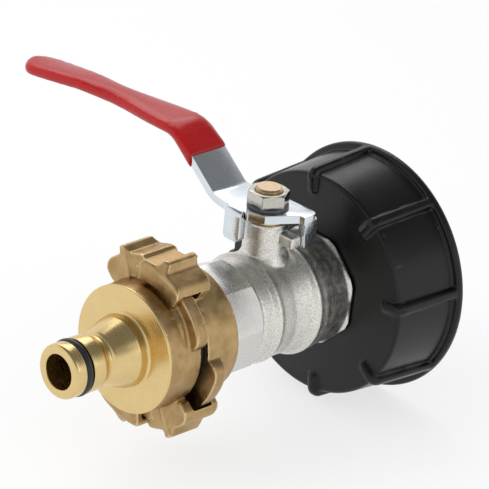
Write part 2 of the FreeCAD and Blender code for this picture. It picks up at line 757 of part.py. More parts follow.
def lever_nut():
    corner_r = NUT_FLATS / 2 / math.cos(math.pi / 6)
    corners = [STEM_AXIS + V(corner_r * math.cos(math.pi * k / 3),
                             corner_r * math.sin(math.pi * k / 3), NUT_BOTTOM) for k in range(6)]
    nut = outline(corners).extrude(UP * NUT_HEIGHT)
    top = NUT_BOTTOM + NUT_HEIGHT
    bevel = Part.makeCone(corner_r + NUT_HEIGHT, corner_r - NUT_CHAMFER, NUT_HEIGHT + NUT_CHAMFER,
                          STEM_AXIS + UP * (top - NUT_HEIGHT - NUT_CHAMFER), UP)
    return nut.common(bevel).cut(post(STEM_R, NUT_BOTTOM, top + 1.0))


def lever_washer():
    return sleeve_ring(LEVER_WASHER_R, STEM_R + SMALL_GAP, PLATE_TOP, NUT_BOTTOM)


# Claw coupling. Both halves are drawn as the front one, with claws that reach back over
# the other half. The rear half is the same shape turned over about MIDDLE_AT.

def claw_envelope():
    """A turned form that the claws share: it slopes and rounds their outer edges."""
    hook = MIDDLE_AT - CLAW_REACH
    end = FRONT_FACE_AT + CLAW_ROOT_THICKNESS + CLAW_RIB_HEIGHT
    crest = CLAW_R + CLAW_RIDGE_HEIGHT
    slope = CLAW_EDGE_SLOPE + CLAW_RIDGE_HEIGHT
    near = CLAW_EDGE_ROUND * (1 - math.sqrt(0.5))
    return turned([
        (0, hook),
        (CLAW_R - CLAW_EDGE_SLOPE, hook),
        (crest, hook + slope * 0.65),
        (crest, end - CLAW_EDGE_ROUND),
        ((crest - near, end - near), (crest - CLAW_EDGE_ROUND, end)),
        (0, end),
    ])


def claw():
    """One claw of the front half, with its lip hooked under the other half's lobe."""
    near = COUPLING_MIDDLE_DEG + CLAW_NEAR_DEG
    far = COUPLING_MIDDLE_DEG + CLAW_FAR_DEG
    root_r = COUPLING_R - COUPLING_ROOT
    root = FRONT_FACE_AT + CLAW_ROOT_THICKNESS
    hook = MIDDLE_AT - CLAW_REACH
    crest = CLAW_R + CLAW_RIDGE_HEIGHT
    rise, top, fall, foot = [COUPLING_MIDDLE_DEG + deg for deg in CLAW_RIDGE_DEG]
    body = outline([
        polar(root_r, near, hook),
        polar(CLAW_R - 1.6, near, hook),
        (polar(CLAW_R - 0.5, near + 1.1, hook), polar(CLAW_R, near + 3.6, hook)),
        (polar(CLAW_R, (near + 3.6 + rise) / 2, hook), polar(CLAW_R, rise, hook)),
        polar(crest, top, hook),
        (polar(crest, (top + fall) / 2, hook), polar(crest, fall, hook)),
        polar(CLAW_R, foot, hook),
        (polar(CLAW_R, foot + 4, hook), polar(CLAW_R, foot + 8, hook)),
        (polar(CLAW_R - 0.8, far - 3.6, hook), polar(CLAW_R - 2.4, far - 0.6, hook)),
        polar(CLAW_MOUTH_R + 1.2, far, hook),
        (polar(CLAW_MOUTH_R + 0.4, far - 0.4, hook), polar(CLAW_MOUTH_R, far - 1.8, hook)),
        polar(root_r, far - 1.8, hook),
    ]).extrude(-PIPE * (root - hook))
    half = math.degrees(CLAW_RIB_WIDTH / 2 / CLAW_R)
    middle = (top + fall) / 2
    rib = outline([
        polar(COUPLING_R, middle - half, root - 1.0), polar(crest, middle - half, root - 1.0),
        polar(crest, middle + half, root - 1.0), polar(COUPLING_R, middle + half, root - 1.0),
    ]).extrude(-PIPE * (1.0 + CLAW_RIB_HEIGHT))
    hollow = rod(CLAW_INNER_R, hook + CLAW_LIP, FRONT_FACE_AT)
    mouth = rod(CLAW_MOUTH_R, hook - 1.0, FRONT_FACE_AT)
    return body.fuse(rib).common(claw_envelope()).cut([hollow, mouth])


def lobe():
    """One lobe of the front half, which the other half's claw hooks behind."""
    face = FRONT_FACE_AT
    start = COUPLING_MIDDLE_DEG - LOBE_NOSE_DEG
    end = COUPLING_MIDDLE_DEG + CLAW_NEAR_DEG + 8
    root_r = COUPLING_R - COUPLING_ROOT
    nose = math.degrees(LOBE_NOSE_ROUND / LOBE_R)
    body = outline([
        polar(root_r, start, face),
        polar(COUPLING_R, start, face),
        (polar(LOBE_R - LOBE_NOSE_ROUND * 0.4, start + nose * 0.5, face),
         polar(LOBE_R, start + nose * 1.6, face)),
        (polar(LOBE_R, (start + end) / 2, face), polar(LOBE_R, end, face)),
        polar(root_r, end, face),
        (polar(root_r, (start + end) / 2, face), polar(root_r, start, face)),
    ]).extrude(-PIPE * LOBE_THICKNESS)
    rim = turned([
        (0, face), (LOBE_R, face), (LOBE_R, face + LOBE_THICKNESS - LOBE_EDGE),
        (LOBE_R - LOBE_EDGE, face + LOBE_THICKNESS), (0, face + LOBE_THICKNESS),
    ])
    foot_shift = COUPLING_R + LOBE_FOOT_HEIGHT - LOBE_FOOT_R
    centre = polar(foot_shift, COUPLING_MIDDLE_DEG - LOBE_FOOT_DEG, face)
    foot = Part.makeCylinder(LOBE_FOOT_R, LOBE_FOOT_LENGTH, centre, -PIPE)
    return body.common(rim).fuse(foot)


def coupling_half():
    """The turned disc, two claws and two lobes, with the pocket for the seal."""
    disc = rod(COUPLING_R, FRONT_FACE_AT, DISC_AT)
    edge = [e for e in disc.Edges if e.BoundBox.YMax < -DISC_AT + 0.01]
    disc = disc.makeChamfer(COUPLING_EDGE, edge)
    arms = []
    for turn in (0, 180):
        arms.append(about_pipe(claw(), turn))
        arms.append(about_pipe(lobe(), turn))
    half = disc.fuse(arms)
    pocket = rod(COUPLING_SEAL_R + SMALL_GAP, FRONT_FACE_AT - POCKET_LENGTH,
                 FRONT_FACE_AT + COUPLING_SEAL_DEPTH)
    return half.cut(pocket)


def turned_over(shape):
    """The shape as the other half has it: turned over about the middle of the coupling."""
    a = math.radians(COUPLING_MIDDLE_DEG)
    return shape.rotated(along(MIDDLE_AT), V(math.cos(a), 0, math.sin(a)), 180)


def front_coupling():
    foot_at = DISC_AT + PLUG_FOOT_LENGTH
    groove_at = DISC_AT + PLUG_CONE_LENGTH
    land_at = groove_at + CATCH_GROOVE_LENGTH
    ring_half = ORING_SECTION_R * 1.1
    ring_r = ORING_R - 2 * ORING_SECTION_R
    tip_r = PLUG_R - PLUG_TIP_STEP
    plug = turned([
        (0, DISC_AT - 1.0),
        (PLUG_FOOT_R, DISC_AT - 1.0),
        (PLUG_FOOT_R, foot_at),
        (PLUG_CONE_R, groove_at),
        (CATCH_GROOVE_R, groove_at + CATCH_GROOVE_SIDE),
        (CATCH_GROOVE_R, land_at - LAND_ROUND),
        ((CATCH_GROOVE_R + LAND_ROUND * 0.4, land_at - LAND_ROUND * 0.4), (PLUG_R, land_at)),
        (PLUG_R, ORING_AT - ring_half),
        (ring_r, ORING_AT - ring_half),
        (ring_r, ORING_AT + ring_half),
        (tip_r, ORING_AT + ring_half),
        (tip_r, TIP_AT - TIP_ROUND),
        ((tip_r - TIP_ROUND * 0.3, TIP_AT - TIP_ROUND * 0.3), (tip_r - TIP_ROUND, TIP_AT)),
        (0, TIP_AT),
    ])
    wide_end = FRONT_FACE_AT + COUPLING_SEAL_DEPTH + COUPLING_DEPTH * WATERWAY_SHARE
    waterway = turned([
        (0, FRONT_FACE_AT - 1.0),
        (COUPLING_BORE_R, FRONT_FACE_AT - 1.0),
        (COUPLING_BORE_R, wide_end),
        (PLUG_BORE_R, wide_end + COUPLING_BORE_R - PLUG_BORE_R),
        (PLUG_BORE_R, TIP_AT + 1.0),
        (0, TIP_AT + 1.0),
    ])
    return coupling_half().fuse(plug).cut(waterway).removeSplitter()


def rear_coupling():
    half = turned_over(coupling_half())
    spigot = rod(PIPE_THREAD_R, OUTLET_SEAL_END_AT, END_FACE_AT + 1.0)
    bore = rod(COUPLING_BORE_R, OUTLET_SEAL_END_AT - 1.0, REAR_FACE_AT + 1.0)
    return half.fuse(spigot).cut(bore).removeSplitter()


def front_seal():
    start = MIDDLE_AT + COUPLING_SEAL_GAP / 2
    return tube(COUPLING_SEAL_R, COUPLING_BORE_R, start, FRONT_FACE_AT + COUPLING_SEAL_DEPTH)


def rear_seal():
    return turned_over(front_seal())


def nipple_oring():
    return Part.makeTorus(ORING_R - ORING_SECTION_R, ORING_SECTION_R, along(ORING_AT), PIPE)


PIECES = [
    tank_cap, cap_gasket, inlet_seal, valve_body, valve_end_piece, outlet_thread_seal,
    ball, inlet_seat, outlet_seat, stem, stem_washer, stem_packing, packing_gland,
    lever, lever_sleeve, lever_nut, lever_washer,
    rear_coupling, rear_seal, front_coupling, front_seal, nipple_oring,
]

os.makedirs("parts", exist_ok=True)
for piece in PIECES:
    solid = piece()
    print(piece.__name__, "valid" if solid.isValid() else "NOT VALID",
          len(solid.Solids), "solid(s)", round(solid.Volume / 1000, 2), "cm3")
    solid.exportStep("parts/" + piece.__name__ + ".step")
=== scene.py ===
# %% [markdown]
# Tank tap adapter
#
# This notebook dresses a tap adapter for a 1000 litre liquid container. The construction is
# already there: a frame of solids at their real size, in metres, with the pipe along -Y, the
# valve stem up along +Z and the closed lever along -X. Here each visible piece gets the
# softer edges, small forms and finish that the real one has.
#
# The order is a maker's order: camera and light first, then tools, then finishes, then the
# pieces from the tank end to the hose end.

# %% Load the frame
import bpy
import json
import math
from mathutils import Matrix, Vector

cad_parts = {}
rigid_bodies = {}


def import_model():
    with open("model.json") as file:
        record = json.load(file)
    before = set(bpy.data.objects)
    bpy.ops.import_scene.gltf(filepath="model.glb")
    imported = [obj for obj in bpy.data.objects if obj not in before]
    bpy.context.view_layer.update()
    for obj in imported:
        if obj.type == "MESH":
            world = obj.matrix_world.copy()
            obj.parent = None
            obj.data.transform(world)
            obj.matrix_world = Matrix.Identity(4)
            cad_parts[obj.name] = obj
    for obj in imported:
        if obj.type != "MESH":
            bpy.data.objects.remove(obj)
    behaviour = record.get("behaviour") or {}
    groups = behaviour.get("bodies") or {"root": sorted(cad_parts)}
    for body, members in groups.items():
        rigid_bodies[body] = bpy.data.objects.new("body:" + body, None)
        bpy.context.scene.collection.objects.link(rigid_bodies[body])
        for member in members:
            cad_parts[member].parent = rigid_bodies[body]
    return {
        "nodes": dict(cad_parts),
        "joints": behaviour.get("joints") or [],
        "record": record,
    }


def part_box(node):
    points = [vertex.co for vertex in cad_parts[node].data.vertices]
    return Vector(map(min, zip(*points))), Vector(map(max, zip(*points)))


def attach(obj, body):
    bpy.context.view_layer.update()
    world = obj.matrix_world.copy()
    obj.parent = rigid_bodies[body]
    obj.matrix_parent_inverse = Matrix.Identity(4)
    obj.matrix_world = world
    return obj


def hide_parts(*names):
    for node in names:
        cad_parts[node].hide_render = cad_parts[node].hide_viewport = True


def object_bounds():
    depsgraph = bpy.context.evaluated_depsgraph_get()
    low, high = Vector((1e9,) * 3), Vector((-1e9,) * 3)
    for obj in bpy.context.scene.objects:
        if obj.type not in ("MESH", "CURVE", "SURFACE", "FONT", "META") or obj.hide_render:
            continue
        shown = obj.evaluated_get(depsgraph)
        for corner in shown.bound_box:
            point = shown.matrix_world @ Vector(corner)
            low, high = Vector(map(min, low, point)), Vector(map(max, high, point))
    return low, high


for leftover in list(bpy.data.objects):
    bpy.data.objects.remove(leftover)

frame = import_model()
CAD_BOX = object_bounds()
MM = 0.001
print("solids in the frame:", len(frame["nodes"]))

# %% [markdown]
# Where things lie
#
# A place along the pipe is a distance forward of the cap's open mouth, so the point at
# distance t is at y = -t. The solids' boxes give most of these places, and the record's
# mounts give the bore and the plug, so nothing has to be fitted by eye.

# %% Measure the frame
def reach(node):
    """How far from the pipe axis a node reaches to the side."""
    low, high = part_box(node)
    return max(high.x, -low.x)


def span(node):
    """The two distances along the pipe between which a node lies."""
    low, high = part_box(node)
    return -high.y, -low.y


MOUNTS = {mount["name"]: mount["dims"]["r_mm"] * MM for mount in frame["record"]["mounts"]}
PIVOTS = {joint["name"]: Vector(joint["pos_m"]) for joint in frame["joints"]}
STEM_Y = PIVOTS["lever_turn"].y
TANK_BORE_R = MOUNTS["tank_thread"]
PLUG_R = MOUNTS["hose_plug"]
RIM_R = reach("tank_cap")
GASKET_FROM, GASKET_TO = span("cap_gasket")
SEAL_FROM, SEAL_TO = span("inlet_seal")
SEAM, END_FACE = span("valve_body")[1], span("valve_end_piece")[1]
SPIGOT_FROM = span("valve_end_piece")[0]
SOCKET_FLOOR = span("outlet_thread_seal")[0]
TIP = span("front_coupling")[1]
print(f"stem axis at {-STEM_Y / MM:.1f} mm, plug tip at {TIP / MM:.1f} mm")

# %% [markdown]
# Camera
#
# The view is a long lens from the front left and a little above, rolled by a few degrees.
# The numbers come from matching the ellipses of the cap rim, the coupling disc, the plug
# tip and the stem top. One known point and the place where it shows fix the rest.

# %% Set the camera
CAMERA_AZIMUTH = math.radians(43.12)
CAMERA_ELEVATION = math.radians(24.25)
CAMERA_ROLL = math.radians(5.05)
CAMERA_DISTANCE = 1.2266
PICTURE_SIZE = 489
FOCAL_PIXELS = 4400.7
SENSOR = 36.0
AIM_POINT = Vector((0, -80 * MM, 0))
AIM_PIXEL = (174.2, 331.7)


def place_camera():
    a, e, roll = CAMERA_AZIMUTH, CAMERA_ELEVATION, CAMERA_ROLL
    back = Vector((math.sin(a) * math.cos(e), -math.cos(a) * math.cos(e), math.sin(e)))
    level = Vector((math.cos(a), math.sin(a), 0))
    steep = back.cross(level)
    right = level * math.cos(roll) + steep * math.sin(roll)
    up = steep * math.cos(roll) - level * math.sin(roll)
    metres_per_pixel = CAMERA_DISTANCE / FOCAL_PIXELS
    aside = (AIM_PIXEL[0] - PICTURE_SIZE / 2) * metres_per_pixel
    below = (AIM_PIXEL[1] - PICTURE_SIZE / 2) * metres_per_pixel
    bpy.ops.object.camera_add()
    camera = bpy.context.object
    camera.name = "photo_camera"
    turn = Matrix((right, up, back)).transposed().to_4x4()
    turn.translation = AIM_POINT - right * aside + up * below + back * CAMERA_DISTANCE
    camera.matrix_world = turn
    camera.data.sensor_width = SENSOR
    camera.data.lens = FOCAL_PIXELS / PICTURE_SIZE * SENSOR
    camera.data.clip_start, camera.data.clip_end = 0.01, 20.0
    bpy.context.scene.camera = camera
    return right, up, back


VIEW_RIGHT, VIEW_UP, VIEW_BACK = place_camera()

# %% [markdown]
# Shader maths as plain arithmetic
#
# A material's nodes are easier to read as expressions. `Wire` wraps one output socket and
# turns +, - and * into Math nodes. `Finish` holds one node tree and adds any other node by
# its type, its settings and the values or wires of its sockets.

# %% Wires and finishes
class Wire:
    """One output socket, usable in ordinary arithmetic."""

    def __init__(self, finish, socket):
        self.finish = finish
        self.socket = socket

    def maths(self, operation, first, second):
        return self.finish.add("ShaderNodeMath", {"operation": operation}, {0: first, 1: second})

    def __add__(self, other):
        return self.maths("ADD", self, other)

    __radd__ = __add__

    def __sub__(self, other):
        return self.maths("SUBTRACT", self, other)

    def __rsub__(self, other):
        return self.maths("SUBTRACT", other, self)

    def __mul__(self, other):
        return self.maths("MULTIPLY", self, other)

    __rmul__ = __mul__

    def at_least(self, other):
        return self.maths("MAXIMUM", self, other)


class Finish:
    """A node tree that is being filled, with short words for what most finishes need."""

    def __init__(self, owner):
        owner.use_nodes = True
        self.tree = owner.node_tree
        self.tree.nodes.clear()

    def add(self, kind, settings=None, inputs=None, out=0):
        node = self.tree.nodes.new(kind)
        for key, value in (settings or {}).items():
            setattr(node, key, value)
        for key, value in (inputs or {}).items():
            if isinstance(value, Wire):
                self.tree.links.new(value.socket, node.inputs[key])
            else:
                node.inputs[key].default_value = value
        return Wire(self, node.outputs[out]) if len(node.outputs) else node

    def place(self):
        """Where a point of the piece lies, in the piece's own frame."""
        return self.add("ShaderNodeTexCoord", out="Object")

    def parts(self, vector):
        """The x, y and z of a vector, as three wires."""
        node = self.add("ShaderNodeSeparateXYZ", inputs={0: vector}).socket.node
        return [Wire(self, socket) for socket in node.outputs]

    def cloud(self, size, detail=2.0, roughness=0.5, stretch=(1, 1, 1)):
        """Noise from 0 to 1 whose blotches are about size metres across."""
        where = self.place()
        if stretch != (1, 1, 1):
            where = self.add("ShaderNodeMapping", inputs={"Vector": where, "Scale": stretch})
        return self.add("ShaderNodeTexNoise", inputs={
            "Vector": where, "Scale": 1 / size, "Detail": detail, "Roughness": roughness})

    def ramp(self, value, low, high, to_low=0.0, to_high=1.0):
        """The value's stretch from low to high, mapped smoothly onto another."""
        return self.add("ShaderNodeMapRange", {"interpolation_type": "SMOOTHSTEP"}, {
            "Value": value, "From Min": low, "From Max": high,
            "To Min": to_low, "To Max": to_high})

    def blend(self, factor, first, second):
        """Two colours mixed by a factor."""
        return self.add("ShaderNodeMix", {"data_type": "RGBA"}, {
            "Factor": factor, 6: first, 7: second}, out=2)

    def relief(self, height, depth, strength=1.0):
        """A bump of the given depth in metres."""
        return self.add("ShaderNodeBump", inputs={
            "Height": height, "Distance": depth, "Strength": strength})

    def surface(self, **sockets):
        """The shader and the output. An underscore in a name stands for a space."""
        named = {key.replace("_", " "): value for key, value in sockets.items()}
        shader = self.add("ShaderNodeBsdfPrincipled", inputs=named)
        self.add("ShaderNodeOutputMaterial", inputs={"Surface": shader})


def material(name):
    made = bpy.data.materials.new(name)
    print("finish:", name)
    return made, Finish(made)


def paint(red, green, blue):
    """A colour with the alpha that a colour socket wants."""
    return (red, green, blue, 1.0)


# %% [markdown]
# Light and background
#
# The photograph is a studio shot on white: a large soft light from the upper left, weaker
# ones from the right and from above, and white boards all round, which the metal mirrors.
# The world shows white to the camera. What metal sees of it is white near the horizon and
# dim overhead, as in a room above its white boards, and so a curved piece of nickel shows
# both bright and dark. The floor glows a little for the camera and for the metal, so that
# it looks white and still keeps a faint shadow.

# %% Light the studio
AROUND = 0.66
STUDIO_CEILING = 0.22
BOARDS_TO, CEILING_FROM = 0.34, 0.68
BOARDS_TILT = 0.2
FLOOR_WHITE_SHARE = 0.72
KEY_WATTS, KEY_SIZE = 1.3, 0.40
SIDE_WATTS, SIDE_SIZE = 0.25, 0.30
TOP_WATTS, TOP_SIZE = 0.7, 0.36
LAMP_DISTANCE = 0.55
OBJECT_MIDDLE = (CAD_BOX[0] + CAD_BOX[1]) / 2


def studio_world():
    world = bpy.data.worlds.new("studio")
    bpy.context.scene.world = world
    sky = Finish(world)
    paths = sky.add("ShaderNodeLightPath").socket.node.outputs
    x, y, z = sky.parts(sky.add("ShaderNodeTexCoord", out="Generated"))
    overhead = z + x * BOARDS_TILT
    room = sky.ramp(overhead, BOARDS_TO, CEILING_FROM, 1.0, STUDIO_CEILING)
    mirrored = Wire(sky, paths["Is Glossy Ray"]).at_least(Wire(sky, paths["Is Transmission Ray"]))
    seen = Wire(sky, paths["Is Camera Ray"])
    strength = seen + (1 - seen) * (mirrored * room + (1 - mirrored) * AROUND)
    lit = sky.add("ShaderNodeBackground", inputs={"Color": paint(1, 1, 1), "Strength": strength})
    sky.add("ShaderNodeOutputWorld", inputs={"Surface": lit})


def softbox(name, direction, watts, size, mirrored=True):
    """A square soft light that faces the object, and may be left out of reflections."""
    direction = Vector(direction).normalized()
    bpy.ops.object.light_add(type="AREA", location=OBJECT_MIDDLE + direction * LAMP_DISTANCE)
    lamp = bpy.context.object
    lamp.name = name
    lamp.rotation_euler = direction.to_track_quat("Z", "Y").to_euler()
    lamp.data.shape = "SQUARE"
    lamp.data.size = size
    lamp.data.energy = watts
    lamp.visible_glossy = mirrored
    print(f"{name}: {watts} W, {size} m wide")


def floor_under():
    bpy.ops.mesh.primitive_plane_add(size=6.0, location=(0, 0, CAD_BOX[0].z - 0.2 * MM))
    floor = bpy.context.object
    floor.name = "floor"
    card, finish = material("white_card")
    paths = finish.add("ShaderNodeLightPath").socket.node.outputs
    direct = Wire(finish, paths["Is Camera Ray"]).at_least(Wire(finish, paths["Is Glossy Ray"]))
    looked_at = direct.at_least(Wire(finish, paths["Is Transmission Ray"]))
    board = finish.add("ShaderNodeBsdfDiffuse", inputs={"Color": paint(0.93, 0.93, 0.93)})
    glow = finish.add("ShaderNodeEmission", inputs={"Color": paint(1, 1, 1), "Strength": 1.0})
    both = finish.add("ShaderNodeMixShader", inputs={
        0: looked_at * FLOOR_WHITE_SHARE, 1: board, 2: glow})
    finish.add("ShaderNodeOutputMaterial", inputs={"Surface": both})
    floor.data.materials.append(card)


studio_world()
softbox("key_softbox", VIEW_BACK * 0.6 - VIEW_RIGHT * 1.0 + VIEW_UP * 0.9, KEY_WATTS, KEY_SIZE,
        mirrored=False)
softbox("side_softbox", VIEW_BACK * 0.8 + VIEW_RIGHT * 1.0 + VIEW_UP * 0.2, SIDE_WATTS, SIDE_SIZE)
softbox("top_softbox", VIEW_UP * 1.0 - VIEW_BACK * 0.25, TOP_WATTS, TOP_SIZE)
floor_under()
bpy.context.scene.view_settings.view_transform = "Standard"

# %% [markdown]
# Black moulding
#
# The cap is moulded polypropylene: black, dull, with the fine even grain of an etched
# mould and slow clouds where it cooled unevenly. Grain is a bump, clouds go into the
# roughness, and both are small, because fresh plastic is quiet. Its outer edges get a
# painted highlight, a slightly lighter base colour, and Pointiness finds them.

# %% Finish: cap plastic
def cap_plastic():
    made, f = material("black_moulding")
    grain = f.cloud(0.35 * MM, detail=2.0)
    clouds = f.cloud(14 * MM, detail=3.0)
    # Painted highlight: convex edges, found by Pointiness, get a lighter base colour.
    painted_highlight_edges = f.ramp(f.add("ShaderNodeNewGeometry", out="Pointiness"), 0.54, 0.60)
    quiet = f.blend(clouds, paint(0.0020, 0.0024, 0.0026), paint(0.0045, 0.005, 0.005))
    f.surface(
        Base_Color=f.blend(painted_highlight_edges, quiet, paint(0.022, 0.023, 0.024)),
        Roughness=f.ramp(clouds, 0.3, 0.7, 0.25, 0.34) - painted_highlight_edges * 0.04,
        Normal=f.relief(grain, 0.02 * MM, 0.3),
        Specular_IOR_Level=0.34,
    )
    return made


CAP_PLASTIC = cap_plastic()

# %% [markdown]
# Rubber and white seals
#
# Seals are near black, a little bluish where they shine, with the soft uneven gloss of
# moulded rubber. The ball's seats and the stem's packing are white fluoropolymer.

# %% Finish: rubber and fluoropolymer
def seal_rubber():
    made, f = material("seal_rubber")
    clouds = f.cloud(1.6 * MM, detail=3.0)
    f.surface(
        Base_Color=f.blend(clouds, paint(0.008, 0.009, 0.011), paint(0.016, 0.017, 0.020)),
        Roughness=f.ramp(clouds, 0.25, 0.75, 0.30, 0.48),
        Normal=f.relief(f.cloud(0.3 * MM), 0.015 * MM),
    )
    return made


def white_polymer():
    made, f = material("white_polymer")
    clouds = f.cloud(2.5 * MM, detail=2.0)
    f.surface(
        Base_Color=f.blend(clouds, paint(0.74, 0.74, 0.71), paint(0.84, 0.84, 0.82)),
        Roughness=f.ramp(clouds, 0.3, 0.7, 0.38, 0.5),
    )
    return made


SEAL_RUBBER = seal_rubber()
WHITE_POLYMER = white_polymer()

# %% [markdown]
# Nickel on a sand casting
#
# The valve body is cast brass under nickel. The plating follows every grain of the sand, so
# the surface sparkles: small pits and lumps bend the mirror in all directions. Two grains
# of different size make the bump, and the metal is slightly yellow, as nickel is.

# %% Finish: nickel
def cast_nickel():
    made, f = material("cast_nickel")
    sand = f.cloud(0.42 * MM, detail=3.0, roughness=0.65)
    lumps = f.cloud(1.8 * MM, detail=2.0)
    shade = f.ramp(sand, 0.35, 0.65)
    f.surface(
        Base_Color=f.blend(shade, paint(0.56, 0.545, 0.505), paint(0.86, 0.845, 0.79)),
        Metallic=1.0,
        Roughness=f.ramp(lumps, 0.3, 0.7, 0.30, 0.42),
        Normal=f.relief(sand * 0.8 + lumps * 0.2, 0.10 * MM, 0.75),
    )
    return made


def smooth_nickel():
    made, f = material("machined_nickel")
    grain = f.cloud(0.5 * MM, detail=2.0)
    marks = f.cloud(0.5 * MM, detail=2.0, stretch=(0.12, 1, 0.12))
    f.surface(
        Base_Color=f.blend(grain, paint(0.60, 0.59, 0.56), paint(0.76, 0.75, 0.72)),
        Metallic=1.0,
        Roughness=f.ramp(marks, 0.3, 0.7, 0.18, 0.30),
        Normal=f.relief(grain * 0.5 + marks * 0.5, 0.03 * MM, 0.6),
    )
    return made


def nut_nickel():
    made, f = material("nut_nickel")
    grain = f.cloud(0.9 * MM, detail=3.0)
    f.surface(
        Base_Color=f.blend(grain, paint(0.44, 0.43, 0.385), paint(0.62, 0.61, 0.55)),
        Metallic=1.0,
        Roughness=f.ramp(grain, 0.3, 0.7, 0.14, 0.24),
        Normal=f.relief(grain, 0.02 * MM, 0.5),
    )
    return made


CAST_NICKEL = cast_nickel()
NUT_NICKEL = nut_nickel()
SMOOTH_NICKEL = smooth_nickel()

# %% [markdown]
# Two brasses
#
# The coupling halves are pressed hot in a die, and that skin stays on the claws: a dull,
# brownish brass, paler along its edges, partly worn bright and partly a painted highlight.
# The plug and the disc's face are turned afterwards, so they are a pale gold, with faint
# rings left by the tool. The rings follow the distance from the pipe axis on a face and the
# distance along it on a cylinder, so their sum works for both.

# %% Finish: pressed and turned brass
RING_PITCH = 0.9 * MM


def pressed_brass():
    made, f = material("pressed_brass")
    skin = f.cloud(0.7 * MM, detail=3.0, roughness=0.6)
    clouds = f.ramp(f.cloud(5 * MM, detail=4.0, roughness=0.6), 0.32, 0.68)
    bend = f.add("ShaderNodeNewGeometry", out="Pointiness")
    # Painted highlight, partly real wear: convex edges, found by Pointiness, get a paler brass.
    wear_and_painted_highlight = f.ramp(bend, 0.505, 0.56)
    tarnish = f.blend(clouds, paint(0.37, 0.24, 0.105), paint(0.52, 0.36, 0.175))
    f.surface(
        Base_Color=f.blend(wear_and_painted_highlight, tarnish, paint(0.72, 0.54, 0.30)),
        Metallic=1.0,
        Roughness=f.ramp(clouds * 0.4 + skin * 0.6 - wear_and_painted_highlight * 0.3, 0.0, 0.8, 0.24, 0.46),
        Normal=f.relief(skin * 0.8 + f.cloud(2.2 * MM) * 0.6, 0.08 * MM, 0.6),
    )
    return made


def turned_brass():
    made, f = material("turned_brass")
    where = f.place()
    x, y, z = f.parts(where)
    across = f.add("ShaderNodeCombineXYZ", inputs={"X": x, "Z": z})
    radius = f.add("ShaderNodeVectorMath", {"operation": "LENGTH"}, {0: across}, out="Value")
    feed = (radius + y) * (2 * math.pi / RING_PITCH) + f.cloud(3 * MM) * 9.0
    rings = f.add("ShaderNodeMath", {"operation": "SINE"}, {0: feed}) * 0.5 + 0.5
    clouds = f.cloud(5 * MM, detail=2.0)
    f.surface(
        Base_Color=f.blend(clouds, paint(0.67, 0.495, 0.225), paint(0.78, 0.595, 0.29)),
        Metallic=1.0,
        Roughness=f.ramp(rings * 0.3 + clouds * 0.7, 0.2, 0.8, 0.20, 0.32),
        Normal=f.relief(rings * 0.6 + f.cloud(1.2 * MM) * 0.4, 0.003 * MM, 0.25),
    )
    return made


PRESSED_BRASS = pressed_brass()
TURNED_BRASS = turned_brass()

# %% [markdown]
# Plated steel, chrome and red vinyl
#
# The lever is a stamped strip with a bright zinc plating, slightly blue, with drawn-out
# scratches along the strip. The stem's end is bare brass and the washer a dark steel.
# The ball is chromed to a mirror. The sleeve is vinyl that the hot strip was dipped in, so
# it is glossy and never quite even.

# %% Finish: stem, lever, washer, ball and sleeve
def spindle_brass():
    made, f = material("spindle_brass")
    marks = f.cloud(0.8 * MM, detail=3.0)
    f.surface(
        Base_Color=f.blend(marks, paint(0.50, 0.35, 0.20), paint(0.66, 0.51, 0.35)),
        Metallic=1.0,
        Roughness=f.ramp(marks, 0.3, 0.7, 0.24, 0.38),
        Normal=f.relief(marks, 0.012 * MM, 0.5),
    )
    return made


def plated_steel():
    made, f = material("plated_steel")
    drawn = f.cloud(0.6 * MM, detail=3.0, stretch=(0.08, 1, 1))
    clouds = f.cloud(5 * MM, detail=2.0)
    f.surface(
        Base_Color=f.blend(clouds, paint(0.60, 0.65, 0.70), paint(0.76, 0.80, 0.84)),
        Metallic=1.0,
        Roughness=f.ramp(drawn, 0.25, 0.75, 0.13, 0.26),
        Normal=f.relief(drawn, 0.012 * MM, 0.5),
    )
    return made


def dark_steel():
    made, f = material("dark_washer_steel")
    haze = f.cloud(1.2 * MM, detail=3.0)
    f.surface(
        Base_Color=f.blend(haze, paint(0.060, 0.062, 0.066), paint(0.16, 0.162, 0.168)),
        Metallic=1.0,
        Roughness=f.ramp(haze, 0.3, 0.7, 0.26, 0.40),
        Normal=f.relief(haze, 0.01 * MM, 0.4),
    )
    return made


def mirror_chrome():
    made, f = material("mirror_chrome")
    haze = f.cloud(4 * MM)
    f.surface(Base_Color=paint(0.78, 0.78, 0.79), Metallic=1.0,
              Roughness=f.ramp(haze, 0.3, 0.7, 0.04, 0.10))
    return made


def red_vinyl():
    made, f = material("red_vinyl")
    flow = f.cloud(9 * MM, detail=2.0)
    fine = f.cloud(0.8 * MM, detail=2.0)
    f.surface(
        Base_Color=f.blend(flow, paint(0.35, 0.002, 0.004), paint(0.42, 0.004, 0.006)),
        Roughness=f.ramp(flow, 0.3, 0.7, 0.22, 0.32),
        Normal=f.relief(flow * 0.97 + fine * 0.03, 0.10 * MM, 0.3),
        Specular_IOR_Level=0.30,
        Coat_Weight=0.16,
        Coat_Roughness=0.12,
    )
    return made


PLATED_STEEL = plated_steel()
DARK_STEEL = dark_steel()
SPINDLE_BRASS = spindle_brass()
MIRROR_CHROME = mirror_chrome()
RED_VINYL = red_vinyl()

# %% [markdown]
# Drawing and turning
#
# Most of these pieces were made on a lathe, so most are made like that here: a line of
# points is drawn by extruding a single vertex from point to point, its corners are rounded
# with a vertex bevel, and the line is spun about its axis. `draw` makes the line, `lathe`
# spins it.

# %% Tools: select, draw, round and spin
SPIN_STEPS = 144
SMALL_STEPS = 96
FINE_STEPS = 192
MERGE = 0.001 * MM


def leave_edit():
    if bpy.context.object and bpy.context.object.mode != "OBJECT":
        bpy.ops.object.mode_set(mode="OBJECT")


def only(piece):
    """Make a piece the active one, with nothing else selected."""
    leave_edit()
    bpy.ops.object.select_all(action="DESELECT")
    piece.select_set(True)
    bpy.context.view_layer.objects.active = piece


